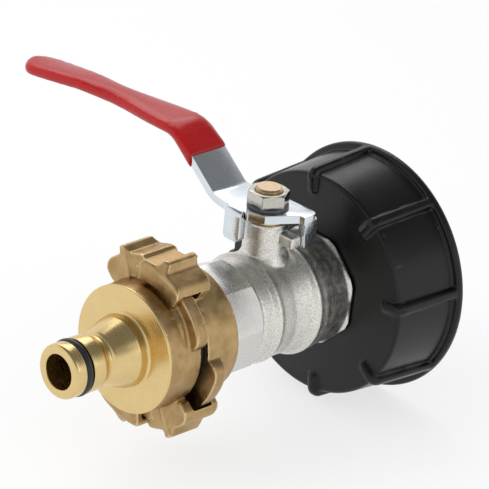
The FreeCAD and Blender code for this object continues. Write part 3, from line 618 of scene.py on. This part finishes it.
def edit_all(piece):
    """Open a piece for editing, with all of it selected."""
    only(piece)
    bpy.ops.object.mode_set(mode="EDIT")
    bpy.ops.mesh.select_all(action="SELECT")


def face_outwards():
    """Turn every face of the piece in edit mode outwards, and leave edit mode."""
    bpy.ops.mesh.select_all(action="SELECT")
    bpy.ops.mesh.normals_make_consistent(inside=False)
    leave_edit()


def pick(piece, test):
    """In edit mode, select the vertices that the test accepts."""
    only(piece)
    bpy.ops.object.mode_set(mode="EDIT")
    bpy.ops.mesh.select_mode(type="VERT")
    bpy.ops.mesh.select_all(action="DESELECT")
    bpy.ops.object.mode_set(mode="OBJECT")
    for vertex in piece.data.vertices:
        vertex.select = test(vertex.co)
    bpy.ops.object.mode_set(mode="EDIT")


def draw(name, points):
    """A closed line through the points, made by extruding one vertex along them."""
    leave_edit()
    bpy.ops.object.select_all(action="DESELECT")
    bpy.ops.mesh.primitive_plane_add(size=MM, location=points[0])
    piece = bpy.context.object
    piece.name = name
    bpy.ops.object.transform_apply(location=True, rotation=True, scale=True)
    bpy.ops.object.mode_set(mode="EDIT")
    bpy.ops.mesh.select_all(action="SELECT")
    bpy.ops.mesh.merge(type="CENTER")
    route = [*points, points[0]]
    for start, end in zip(route, route[1:]):
        step = Vector(end) - Vector(start)
        bpy.ops.mesh.extrude_region_move(TRANSFORM_OT_translate={"value": step})
    bpy.ops.mesh.select_all(action="SELECT")
    bpy.ops.mesh.remove_doubles(threshold=MERGE)
    leave_edit()
    return piece


def round_corner(piece, point, radius, segments=5):
    """Round the drawn line's corner at the point."""
    corner = Vector(point)
    pick(piece, lambda co: (co - corner).length < MERGE)
    bpy.ops.mesh.bevel(affect="VERTICES", offset_type="OFFSET", offset=radius, segments=segments)
    leave_edit()


def spin(piece, centre, axis, steps):
    """Spin the drawn line about an axis into a closed skin that faces outwards."""
    only(piece)
    bpy.ops.object.mode_set(mode="EDIT")
    bpy.ops.mesh.select_mode(type="VERT")
    bpy.ops.mesh.select_all(action="SELECT")
    bpy.ops.mesh.spin(steps=steps, angle=2 * math.pi, use_auto_merge=True,
                      center=centre, axis=axis)
    bpy.ops.mesh.select_all(action="SELECT")
    bpy.ops.mesh.remove_doubles(threshold=MERGE)
    face_outwards()


def turned(name, profile, place, centre, axis, steps):
    """Turned work whose profile points are put in space by a function of two measures."""
    points = [place(radius, along) for radius, along, _ in profile]
    piece = draw(name, points)
    for point, (_, _, rounding) in zip(points, profile):
        if rounding:
            round_corner(piece, point, rounding)
    spin(piece, centre, axis, steps)
    return piece


def lathe(name, profile, steps=SPIN_STEPS):
    """Turned work on the pipe axis from (radius, distance, corner rounding) in metres."""
    return turned(name, profile, lambda radius, t: (radius, -t, 0), (0, 0, 0), (0, 1, 0), steps)


def lathe_up(name, profile, steps=SPIN_STEPS):
    """Turned work on the stem axis from (radius, height, corner rounding) in metres."""
    return turned(name, profile, lambda radius, z: (radius, STEM_Y, z),
                  (0, STEM_Y, 0), (0, 0, 1), steps)


# %% [markdown]
# Joining, easing and softening
#
# Four ways to finish a form. `combine` adds or cuts with another piece. `ease` breaks
# sharp edges with a small bevel, as on machined steel. `soften` rebuilds the skin from
# small cells and smooths it, which fills corners and rounds edges all over, the way a
# casting or a moulding comes out of its tool. `trim` saws a piece off at a plane.

# %% Tools: combine, ease, soften and trim
def modify(piece, kind, **settings):
    """Add a modifier, set it and apply it."""
    only(piece)
    bpy.ops.object.modifier_add(type=kind)
    modifier = piece.modifiers[-1]
    for key, value in settings.items():
        setattr(modifier, key, value)
    bpy.ops.object.modifier_apply(modifier=modifier.name)
    return piece


def combine(piece, other, operation="UNION", solver="MANIFOLD"):
    """Unite with, cut by or keep the common part with another piece, which is used up."""
    leave_edit()
    modify(piece, "BOOLEAN", operation=operation, object=other, solver=solver)
    bpy.data.objects.remove(other)
    return piece


def ease(piece, width, segments=2, angle=30):
    """Break the edges that are sharper than the angle."""
    return modify(piece, "BEVEL", width=width, segments=segments, limit_method="ANGLE",
                  angle_limit=math.radians(angle))


def soften(piece, cell, passes, keep=1.0):
    """Rebuild the skin from cells, smooth it and thin it out to a share of its faces."""
    modify(piece, "REMESH", mode="VOXEL", voxel_size=cell)
    modify(piece, "SMOOTH", factor=0.5, iterations=passes)
    if keep < 1.0:
        modify(piece, "DECIMATE", ratio=keep)
    return piece


def trim(piece, point, away):
    """Cut a piece off at a plane, on the side that away points to, and close the cut."""
    edit_all(piece)
    bpy.ops.mesh.bisect(plane_co=point, plane_no=away, use_fill=True, clear_outer=True)
    leave_edit()


# %% Tools: copy a solid and dress a finished piece
def merged_copy(node, name):
    """A copy of a solid of the frame, with its loose triangles joined and flat areas whole."""
    piece = bpy.data.objects.new(name, frame["nodes"][node].data.copy())
    bpy.context.scene.collection.objects.link(piece)
    piece.data.materials.clear()
    only(piece)
    bpy.ops.mesh.customdata_custom_splitnormals_clear()
    edit_all(piece)
    bpy.ops.mesh.remove_doubles(threshold=0.2 * MERGE)
    leave_edit()
    return piece


def dress(piece, finish, body, node, smooth=35):
    """Give a finished piece its material and its body, and hide the solid that it stands for.

    Without a finish, the piece keeps the material slots that it has.
    """
    only(piece)
    bpy.ops.object.shade_smooth_by_angle(angle=math.radians(smooth))
    if finish:
        piece.data.materials.clear()
        piece.data.materials.append(finish)
    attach(piece, body)
    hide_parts(node)
    piece.data.calc_loop_triangles()
    print(f"{piece.name}: {len(piece.data.loop_triangles)} triangles")


# %% [markdown]
# The cap
#
# A cup with a floor at its front, a rim round its mouth and a thick boss for the valve.
# Its half section is drawn once and spun. Eight ribs give a grip: each is drawn from the
# side, given a width, rounded and turned to its place. The coarse tank thread is a
# trapezoid swept along a right-hand helix of 6 mm pitch. Everything is then softened
# together, so that ribs and thread run into the wall with small fillets, as in a mould.

# %% Size the cap
CAP_FACE = 24.0 * MM
CAP_FRONT_R = TANK_BORE_R + 2.9 * MM
CAP_WALL_R = CAP_FRONT_R + 1.3 * MM
RIM_LENGTH = 2.6 * MM
BOSS_R = 19.5 * MM
SOCKET_R = 13.2 * MM
SOCKET_OUTER_R = 17.4 * MM
GASKET_R = reach("cap_gasket")
RIB_COUNT = 8
RIB_FIRST = math.radians(7.0)
RIB_WIDTH = 3.2 * MM
RIB_ROUND = 1.1 * MM
RIB_HEIGHT = 1.95 * MM
RIB_INNER_R = 27.0 * MM
RIB_BEND_R = 3.2 * MM
THREAD_PITCH = 6.0 * MM
THREAD_TURNS = 1.75
THREAD_DEPTH = 1.9 * MM
THREAD_FROM = 2.6 * MM
THREAD_STEPS = 200
MOULD_CELL = 0.38 * MM
MOULD_PASSES = 5

# %% Turn the cup
def cap_cup():
    return lathe("tank_cap_shell", [
        (TANK_BORE_R, 0, 0.5 * MM),
        (RIM_R, 0, 1.0 * MM),
        (RIM_R, RIM_LENGTH, 1.0 * MM),
        (CAP_WALL_R, RIM_LENGTH, 0.4 * MM),
        (CAP_FRONT_R, CAP_FACE, 0.9 * MM),
        (CAP_FRONT_R - 2.0 * MM, CAP_FACE + 0.06 * MM, 0),
        (BOSS_R, SEAL_FROM, 0.5 * MM),
        (SOCKET_R, SEAL_FROM, 0),
        (SOCKET_R, GASKET_FROM, 0.4 * MM),
        (SOCKET_OUTER_R, GASKET_FROM, 0.4 * MM),
        (SOCKET_OUTER_R, GASKET_TO, 0),
        (GASKET_R, GASKET_TO, 0),
        (GASKET_R, GASKET_FROM, 0),
        (TANK_BORE_R, GASKET_FROM, 0),
    ])


# %% Draw a rib and turn it to its place
def cap_rib(turn):
    top = CAP_FACE + 0.95 * RIB_HEIGHT
    inside = CAP_FRONT_R - 1.4 * MM
    side = [
        (inside, -RIM_LENGTH / 2, 0),
        (CAP_WALL_R + RIB_HEIGHT, -RIM_LENGTH / 2, 0),
        (CAP_FRONT_R + RIB_HEIGHT, -top, 0),
        (RIB_INNER_R + 0.4 * RIB_HEIGHT, -top, 0),
        (RIB_INNER_R, -CAP_FACE, 0),
        (RIB_INNER_R, -CAP_FACE + 2 * MM, 0),
        (inside, -CAP_FACE + 3.5 * MM, 0),
    ]
    rib = draw("rib", side)
    round_corner(rib, side[2], RIB_BEND_R, segments=8)
    edit_all(rib)
    bpy.ops.mesh.edge_face_add()
    bpy.ops.transform.translate(value=(0, 0, -RIB_WIDTH / 2))
    bpy.ops.mesh.extrude_region_move(TRANSFORM_OT_translate={"value": (0, 0, RIB_WIDTH)})
    face_outwards()
    modify(rib, "BEVEL", width=RIB_ROUND, segments=4, limit_method="ANGLE",
           angle_limit=math.radians(40), use_clamp_overlap=False)
    rib.matrix_world = Matrix.Rotation(-turn, 4, "Y")
    bpy.ops.object.transform_apply(location=False, rotation=True, scale=False)
    return rib


# %% Sweep the coarse thread
def cap_thread():
    root = TANK_BORE_R + 0.5 * MM
    crest = TANK_BORE_R - THREAD_DEPTH
    ridge = draw("thread", [
        (root, -THREAD_FROM, 0),
        (crest, -THREAD_FROM - 1.1 * MM, 0),
        (crest, -THREAD_FROM - 2.0 * MM, 0),
        (root, -THREAD_FROM - 3.3 * MM, 0),
    ])
    modify(ridge, "SCREW", axis="Y", angle=-2 * math.pi * THREAD_TURNS, steps=THREAD_STEPS,
           render_steps=THREAD_STEPS, screw_offset=-THREAD_PITCH * THREAD_TURNS,
           use_merge_vertices=False)
    edit_all(ridge)
    bpy.ops.mesh.fill_holes(sides=0)
    face_outwards()
    return ridge


# %% Unite and soften the cap
def tank_cap_shell():
    cap = cap_cup()
    for k in range(RIB_COUNT):
        combine(cap, cap_rib(RIB_FIRST + 2 * math.pi * k / RIB_COUNT))
    combine(cap, cap_thread())
    soften(cap, MOULD_CELL, MOULD_PASSES, keep=0.6)
    dress(cap, CAP_PLASTIC, "adapter_body", "tank_cap", smooth=60)


tank_cap_shell()

# %% [markdown]
# Seals
#
# The cap's gasket lies on the floor inside, with two raised lips that bite into the tank's
# outlet. The valve sits on a plain ring. The coupling's two seals meet in the middle of the
# gap, where they show as a dark line between the halves. All are turned, with soft corners.

# %% Turn the seals
LIP = 0.35 * MM
SEAL_ROUND = 0.35 * MM
COUPLING_BORE_R = 8.5 * MM


def gasket():
    inner = GASKET_R - 9.5 * MM
    lips = []
    for middle in (inner + 3.2 * MM, inner + 6.3 * MM):
        lips += [(middle - 0.5 * MM, GASKET_FROM, 0), (middle, GASKET_FROM - LIP, 0.2 * MM),
                 (middle + 0.5 * MM, GASKET_FROM, 0)]
    ring = lathe("gasket_ring", [(inner, GASKET_FROM, SEAL_ROUND)] + lips + [
        (GASKET_R, GASKET_FROM, SEAL_ROUND),
        (GASKET_R, GASKET_TO, 0),
        (inner, GASKET_TO, SEAL_ROUND),
    ])
    dress(ring, SEAL_RUBBER, "adapter_body", "cap_gasket")


def plain_seal(name, node, body, inner):
    start, end = span(node)
    outer = reach(node)
    ring = lathe(name, [
        (inner, start, SEAL_ROUND / 2), (outer, start, SEAL_ROUND),
        (outer, end, SEAL_ROUND), (inner, end, SEAL_ROUND / 2),
    ])
    dress(ring, SEAL_RUBBER, body, node)


gasket()
plain_seal("valve_seat_ring", "inlet_seal", "adapter_body", SOCKET_R)
plain_seal("rear_lip_seal", "rear_seal", "adapter_body", COUPLING_BORE_R)
plain_seal("front_lip_seal", "front_seal", "hose_end", COUPLING_BORE_R)

# %% [markdown]
# The cast valve body
#
# The body's large form is right in the frame, but a casting has no sharp corner anywhere.
# Low forms are turned and added to a copy of the solid: a thin eight-sided collar against
# the cap, the round run behind it, a crest on the shoulder, a slow rise and a bead round
# the barrel. The whole is then rebuilt from fine cells and smoothed, so that the bonnet
# flows into the barrel and the stop lug gets round shoulders.

# %% Size the low cast forms
CASTING_CELL = 0.34 * MM
CASTING_PASSES = 12
CORE_R = 13.15 * MM
INLET_CORNER = math.radians(20.0)
COLLAR_FLATS = 33.2 * MM
COLLAR_FROM = SEAL_FROM + 0.25 * MM
RUN_FROM = COLLAR_FROM + 0.6 * MM
FLATS_TO = SEAL_TO + 3.6 * MM
BAND_FROM, BAND_TO = 52.0 * MM, 54.3 * MM
BARREL_R = 15.45 * MM
SHOULDER_R = 17.05 * MM

# %% Turn the collar and cut its eight sides
def eight_sided(name, flats, turn, start, end):
    """An eight-sided bar on the pipe axis, with one corner turned to the given angle."""
    corner_r = flats / 2 / math.cos(math.pi / 8)
    bpy.ops.mesh.primitive_cylinder_add(vertices=8, radius=corner_r, depth=end - start,
                                        rotation=(math.pi / 2, 0, 0))
    bar = bpy.context.object
    bar.name = name
    bpy.ops.object.transform_apply(location=True, rotation=True, scale=True)
    bar.matrix_world = Matrix.Rotation(-turn - math.pi / 2, 4, "Y")
    bpy.ops.object.transform_apply(location=False, rotation=True, scale=False)
    bar.location = (0, -(start + end) / 2, 0)
    bpy.ops.object.transform_apply(location=True, rotation=False, scale=False)
    return bar


def inlet_collar():
    """The thin eight-sided collar against the cap, with its corners turned off."""
    collar = lathe("collar", [
        (CORE_R, COLLAR_FROM, 0),
        (COLLAR_FLATS / 2, COLLAR_FROM, 0),
        (17.5 * MM, COLLAR_FROM + 0.4 * MM, 0),
        (17.5 * MM, COLLAR_FROM + 0.7 * MM, 0),
        (17.3 * MM, COLLAR_FROM + 0.9 * MM, 0),
        (CORE_R, COLLAR_FROM + 0.9 * MM, 0),
    ])
    return combine(collar, eight_sided("bar", COLLAR_FLATS, INLET_CORNER, 20 * MM, 40 * MM),
                   "INTERSECT")


# %% Turn the run, the crest, the rise and the bead
def cast_swells():
    """The forms between the collar and the seam with the end piece."""
    run = lathe("run", [
        (CORE_R, RUN_FROM, 0),
        (16.40 * MM, RUN_FROM, 0),
        (16.45 * MM, FLATS_TO, 0),
        (16.90 * MM, 35.2 * MM, 0),
        (17.15 * MM, 37.8 * MM, 0),
        (CORE_R, 37.8 * MM, 0),
    ])
    rise = lathe("rise", [
        (BARREL_R - 0.6 * MM, 45.0 * MM, 0),
        (BARREL_R - 0.02 * MM, 45.0 * MM, 0),
        (BARREL_R + 0.42 * MM, BAND_FROM - 0.6 * MM, 0),
        (BARREL_R + 0.62 * MM, BAND_FROM + 1.0 * MM, 0),
        (BARREL_R + 0.62 * MM, BAND_TO - 0.2 * MM, 0),
        (BARREL_R - 0.6 * MM, BAND_TO - 0.2 * MM, 0),
    ])
    bead = lathe("bead", [
        (BARREL_R - 0.6 * MM, BAND_FROM + 0.2 * MM, 0),
        (BARREL_R + 0.85 * MM, BAND_FROM + 0.8 * MM, 0.3 * MM),
        (BARREL_R + 0.85 * MM, BAND_TO - 0.3 * MM, 0.3 * MM),
        (BARREL_R - 0.6 * MM, BAND_TO + 0.7 * MM, 0),
    ])
    crest = lathe("crest", [
        (SHOULDER_R - 1.2 * MM, 37.2 * MM, 0),
        (SHOULDER_R + 0.35 * MM, 38.2 * MM, 0.4 * MM),
        (SHOULDER_R + 0.35 * MM, 39.2 * MM, 0.4 * MM),
        (SHOULDER_R - 1.2 * MM, 41.6 * MM, 0),
    ])
    return run, rise, bead, crest


def corner_cut():
    """A ring that takes the corners off the solid's flats, where the cast run is round."""
    inner, outer = 16.2 * MM, 20 * MM
    return lathe("cut", [
        (inner, RUN_FROM, 0), (outer, RUN_FROM, 0), (outer, FLATS_TO, 0), (inner, FLATS_TO, 0),
    ])


# %% Unite and soften the valve body
def barrel():
    body = merged_copy("valve_body", "cast_barrel")
    combine(body, corner_cut(), "DIFFERENCE")
    for swell in (inlet_collar(), *cast_swells()):
        combine(body, swell)
    soften(body, CASTING_CELL, CASTING_PASSES, keep=0.9)
    dress(body, CAST_NICKEL, "adapter_body", "valve_body", smooth=60)


barrel()

# %% [markdown]
# The octagonal end piece
#
# This end is a machined octagon that is screwed into the body. It is turned first, with a
# cone at the seam and a chamfer at the face, and then cut to eight flats by keeping what it
# has in common with an eight-sided bar. A small bevel breaks its edges, which catch light.

# %% Turn the end piece and cut its flats
WRENCH_FLATS = 31.0 * MM
END_CORNER = math.radians(6.0)
PASSAGE_R = 9.0 * MM
SEAM_R = 14.95 * MM
SEAM_GAP = 0.04 * MM
END_SPIGOT_R = 12.9 * MM


def end_octagon():
    wide = 0.56 * WRENCH_FLATS
    piece = lathe("end_octagon", [
        (PASSAGE_R, SPIGOT_FROM, 0),
        (END_SPIGOT_R, SPIGOT_FROM, 0),
        (END_SPIGOT_R, SEAM + SEAM_GAP, 0),
        (SEAM_R, SEAM + SEAM_GAP, 0.2 * MM),
        (wide, SEAM + 2.6 * MM, 0),
        (wide, END_FACE - 1.0 * MM, 0),
        (WRENCH_FLATS / 2, END_FACE, 0),
        (SOCKET_R, END_FACE, 0),
        (SOCKET_R, SOCKET_FLOOR, 0),
        (PASSAGE_R, SOCKET_FLOOR, 0),
    ])
    bar = eight_sided("bar", WRENCH_FLATS, END_CORNER, SPIGOT_FROM - 1 * MM, END_FACE + 1 * MM)
    combine(piece, bar, "INTERSECT")
    ease(piece, 0.22 * MM, segments=3, angle=20)
    dress(piece, SMOOTH_NICKEL, "adapter_body", "valve_end_piece", smooth=30)


end_octagon()

# %% [markdown]
# Stem, gland, washer and nut
#
# Small turned parts over the bonnet. The nut is a six-sided bar that shares its form with a
# turned blank, which is how a real nut gets its curved chamfers. The stem keeps the form of
# its solid.

# %% Turn the gland, washer and nut
BONNET_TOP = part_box("valve_body")[1].z
NUT_FROM, NUT_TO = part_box("lever_nut")[0].z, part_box("lever_nut")[1].z
NUT_FLATS = 10.8 * MM
STEM_R = 3.9 * MM


def gland():
    low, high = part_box("packing_gland")
    bore = STEM_R + 0.08 * MM
    ring = lathe_up("gland_ring", [
        (bore, low.z, 0), (4.9 * MM, low.z, 0), (4.9 * MM, BONNET_TOP, 0),
        (5.7 * MM, BONNET_TOP, 0.15 * MM), (5.7 * MM, high.z, 0.3 * MM), (bore, high.z, 0.15 * MM),
    ], steps=SMALL_STEPS)
    dress(ring, TURNED_BRASS, "adapter_body", "packing_gland")


def washer():
    low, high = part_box("lever_washer")
    outer = (high.x - low.x) / 2
    bore = STEM_R + 0.1 * MM
    ring = lathe_up("lever_ring", [
        (bore, low.z, 0.1 * MM), (outer, low.z, 0.2 * MM),
        (outer, high.z, 0.3 * MM), (bore, high.z, 0.1 * MM),
    ], steps=SMALL_STEPS)
    dress(ring, DARK_STEEL, "lever_assembly", "lever_washer")


def nut():
    corner_r = NUT_FLATS / 2 / math.cos(math.pi / 6)
    blank_r = corner_r + 0.1 * MM
    chamfer = 0.55 * MM
    flat_r = NUT_FLATS / 2 - 0.15 * MM
    blank = lathe_up("hex_nut", [
        (STEM_R, NUT_FROM, 0), (blank_r, NUT_FROM, 0), (blank_r, NUT_TO - chamfer, 0),
        (flat_r, NUT_TO, 0), (STEM_R + 0.3 * MM, NUT_TO, 0), (STEM_R, NUT_TO - 0.3 * MM, 0),
    ])
    bpy.ops.mesh.primitive_cylinder_add(vertices=6, radius=corner_r, depth=4 * (NUT_TO - NUT_FROM),
                                        location=(0, STEM_Y, (NUT_TO + NUT_FROM) / 2),
                                        rotation=(0, 0, math.pi / 6))
    bar = bpy.context.object
    bpy.ops.object.transform_apply(location=True, rotation=True, scale=True)
    combine(blank, bar, "INTERSECT", "EXACT")
    ease(blank, 0.12 * MM, segments=2, angle=25)
    dress(blank, NUT_NICKEL, "lever_assembly", "lever_nut", smooth=30)


gland()
washer()
nut()

# %% Copy the stem
def spindle():
    bar = merged_copy("stem", "brass_spindle")
    dress(bar, SPINDLE_BRASS, "lever_assembly", "stem", smooth=20)


spindle()

# %% [markdown]
# Lever
#
# A strip of steel, stamped and bent: its long edges are rolled over slightly by the punch.
# The form comes from the frame, and a bevel rolls the edges. The strip ends a little way
# inside the sleeve, so that the sleeve's own form can be soft.

# %% Ease the lever
SLEEVE_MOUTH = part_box("lever_sleeve")[1].x
HIDDEN_IN_SLEEVE = 4.0 * MM


def lever_strip():
    strip = merged_copy("lever", "steel_lever")
    trim(strip, (SLEEVE_MOUTH - HIDDEN_IN_SLEEVE, 0, 0), (-1, 0, 0))
    edit_all(strip)
    bpy.ops.mesh.dissolve_limited(angle_limit=math.radians(0.6))
    leave_edit()
    ease(strip, 0.35 * MM, segments=3, angle=40)
    dress(strip, PLATED_STEEL, "lever_assembly", "lever")


lever_strip()

# %% [markdown]
# The dipped sleeve
#
# Vinyl that a hot strip was dipped in draws itself round: the top is crowned and no edge is
# left. The sleeve's solid is filled with the strip inside it, cut off at the sleeve's mouth,
# rebuilt from cells and smoothed until its section is round shouldered. A small swell gives
# back what the smoothing took, and the top is let down towards its long edges.

# %% Fill the sleeve and smooth it round
VINYL_CELL = 0.45 * MM
VINYL_PASSES = 22
VINYL_SWELL = 0.05 * MM
CORE_SWELL = 0.3 * MM
VINYL_CROWN = 1.5 * MM
CROWN_POWER = 1.8
CROWN_SLICE = 2.0 * MM
CROWN_FROM_MOUTH = 6.0 * MM


def crown(skin):
    """Let the top fall away towards both long edges, by the place across the strip."""
    widest = {}
    for vertex in skin.data.vertices:
        place = round(vertex.co.x / CROWN_SLICE)
        widest[place] = max(widest.get(place, 0), abs(vertex.co.y - STEM_Y))
    for vertex in skin.data.vertices:
        across = abs(vertex.co.y - STEM_Y) / widest[round(vertex.co.x / CROWN_SLICE)]
        grown = min(1.0, max(0.0, (SLEEVE_MOUTH - vertex.co.x) / CROWN_FROM_MOUTH))
        upward = max(0.0, vertex.normal.z) ** 0.5
        vertex.co.z -= VINYL_CROWN * grown * across ** CROWN_POWER * upward


def dipped_sleeve():
    skin = merged_copy("lever_sleeve", "dipped_sleeve")
    core = merged_copy("lever", "core")
    modify(core, "DISPLACE", strength=CORE_SWELL, mid_level=0)
    combine(skin, core)
    trim(skin, (SLEEVE_MOUTH, 0, 0), (1, 0, 0))
    soften(skin, VINYL_CELL, VINYL_PASSES, keep=0.5)
    modify(skin, "DISPLACE", strength=VINYL_SWELL, mid_level=0)
    crown(skin)
    modify(skin, "SMOOTH", factor=0.5, iterations=4)
    dress(skin, RED_VINYL, "lever_assembly", "lever_sleeve", smooth=60)


dipped_sleeve()

# %% [markdown]
# The claw coupling
#
# Both halves come out of one die, so both are softened copies of their solids. The front
# half is then put on the lathe: its disc face and the hose plug are turned, with crisp edges
# and a bright face. The turned part is drawn and spun here and united with the pressing.

# %% Soften the rear half
PRESSING_CELL = 0.34 * MM
PRESSING_PASSES = 4
DISC_FACE = 99.5 * MM
LATHE_FROM = DISC_FACE - 2.5 * MM
SKIN_ENDS = DISC_FACE - 0.65 * MM
COUPLING_R = 18.5 * MM


def rear_half():
    half = merged_copy("rear_coupling", "rear_claw_half")
    soften(half, PRESSING_CELL, PRESSING_PASSES, keep=0.7)
    dress(half, PRESSED_BRASS, "adapter_body", "rear_coupling", smooth=60)


rear_half()

# %% Turn the disc face and the plug
PLUG_BORE_R = 5.1 * MM
ORING_AT = (span("nipple_oring")[0] + span("nipple_oring")[1]) / 2
GROOVE_HALF = 1.32 * MM
GROOVE_R = 5.9 * MM


def turned_front():
    hidden_r = COUPLING_R - 1.0 * MM
    disc_r = COUPLING_R + 0.01 * MM
    return lathe("turned_front", [
        (PLUG_BORE_R, LATHE_FROM, 0),
        (hidden_r, LATHE_FROM, 0),
        (hidden_r, SKIN_ENDS, 0),
        (disc_r, SKIN_ENDS, 0),
        (disc_r, DISC_FACE, 0.35 * MM),
        (10.9 * MM, DISC_FACE, 0.1 * MM),
        (10.3 * MM, DISC_FACE + 0.5 * MM, 0.3 * MM),
        (10.3 * MM, 102.3 * MM, 0.5 * MM),
        (7.6 * MM, 109.2 * MM, 0.5 * MM),
        (6.7 * MM, 109.9 * MM, 0.4 * MM),
        (6.7 * MM, 111.8 * MM, 0.8 * MM),
        (PLUG_R, 113.2 * MM, 0.4 * MM),
        (PLUG_R, ORING_AT - GROOVE_HALF, 0.15 * MM),
        (GROOVE_R, ORING_AT - GROOVE_HALF, 0.1 * MM),
        (GROOVE_R, ORING_AT + GROOVE_HALF, 0.1 * MM),
        (PLUG_R - 0.2 * MM, ORING_AT + GROOVE_HALF, 0.15 * MM),
        (PLUG_R - 0.2 * MM, TIP, 1.0 * MM),
        (PLUG_BORE_R, TIP, 0.35 * MM),
    ], steps=FINE_STEPS)


# %% Unite it with the pressing
def front_half():
    half = merged_copy("front_coupling", "front_claw_half")
    trim(half, (0, -SKIN_ENDS - 0.35 * MM, 0), (0, -1, 0))
    soften(half, PRESSING_CELL, PRESSING_PASSES, keep=0.7)
    front = turned_front()
    for piece in (half, front):
        piece.data.materials.clear()
        piece.data.materials.append(PRESSED_BRASS)
        piece.data.materials.append(TURNED_BRASS)
    front.active_material_index = 1
    edit_all(front)
    bpy.ops.object.material_slot_assign()
    combine(half, front)
    dress(half, None, "hose_end", "front_coupling", smooth=30)


front_half()

# %% [markdown]
# Pieces whose solids are right as they are
#
# The O-ring is a true ring, and the ball, seats and packing are hidden inside. They keep
# their solids and only get their finish.

# %% Finish the remaining solids
KEPT = {
    "nipple_oring": SEAL_RUBBER,
    "outlet_thread_seal": SEAL_RUBBER,
    "ball": MIRROR_CHROME,
    "inlet_seat": WHITE_POLYMER,
    "outlet_seat": WHITE_POLYMER,
    "stem_washer": WHITE_POLYMER,
    "stem_packing": WHITE_POLYMER,
}
for node, finish in KEPT.items():
    solid = frame["nodes"][node]
    solid.data.materials.clear()
    solid.data.materials.append(finish)
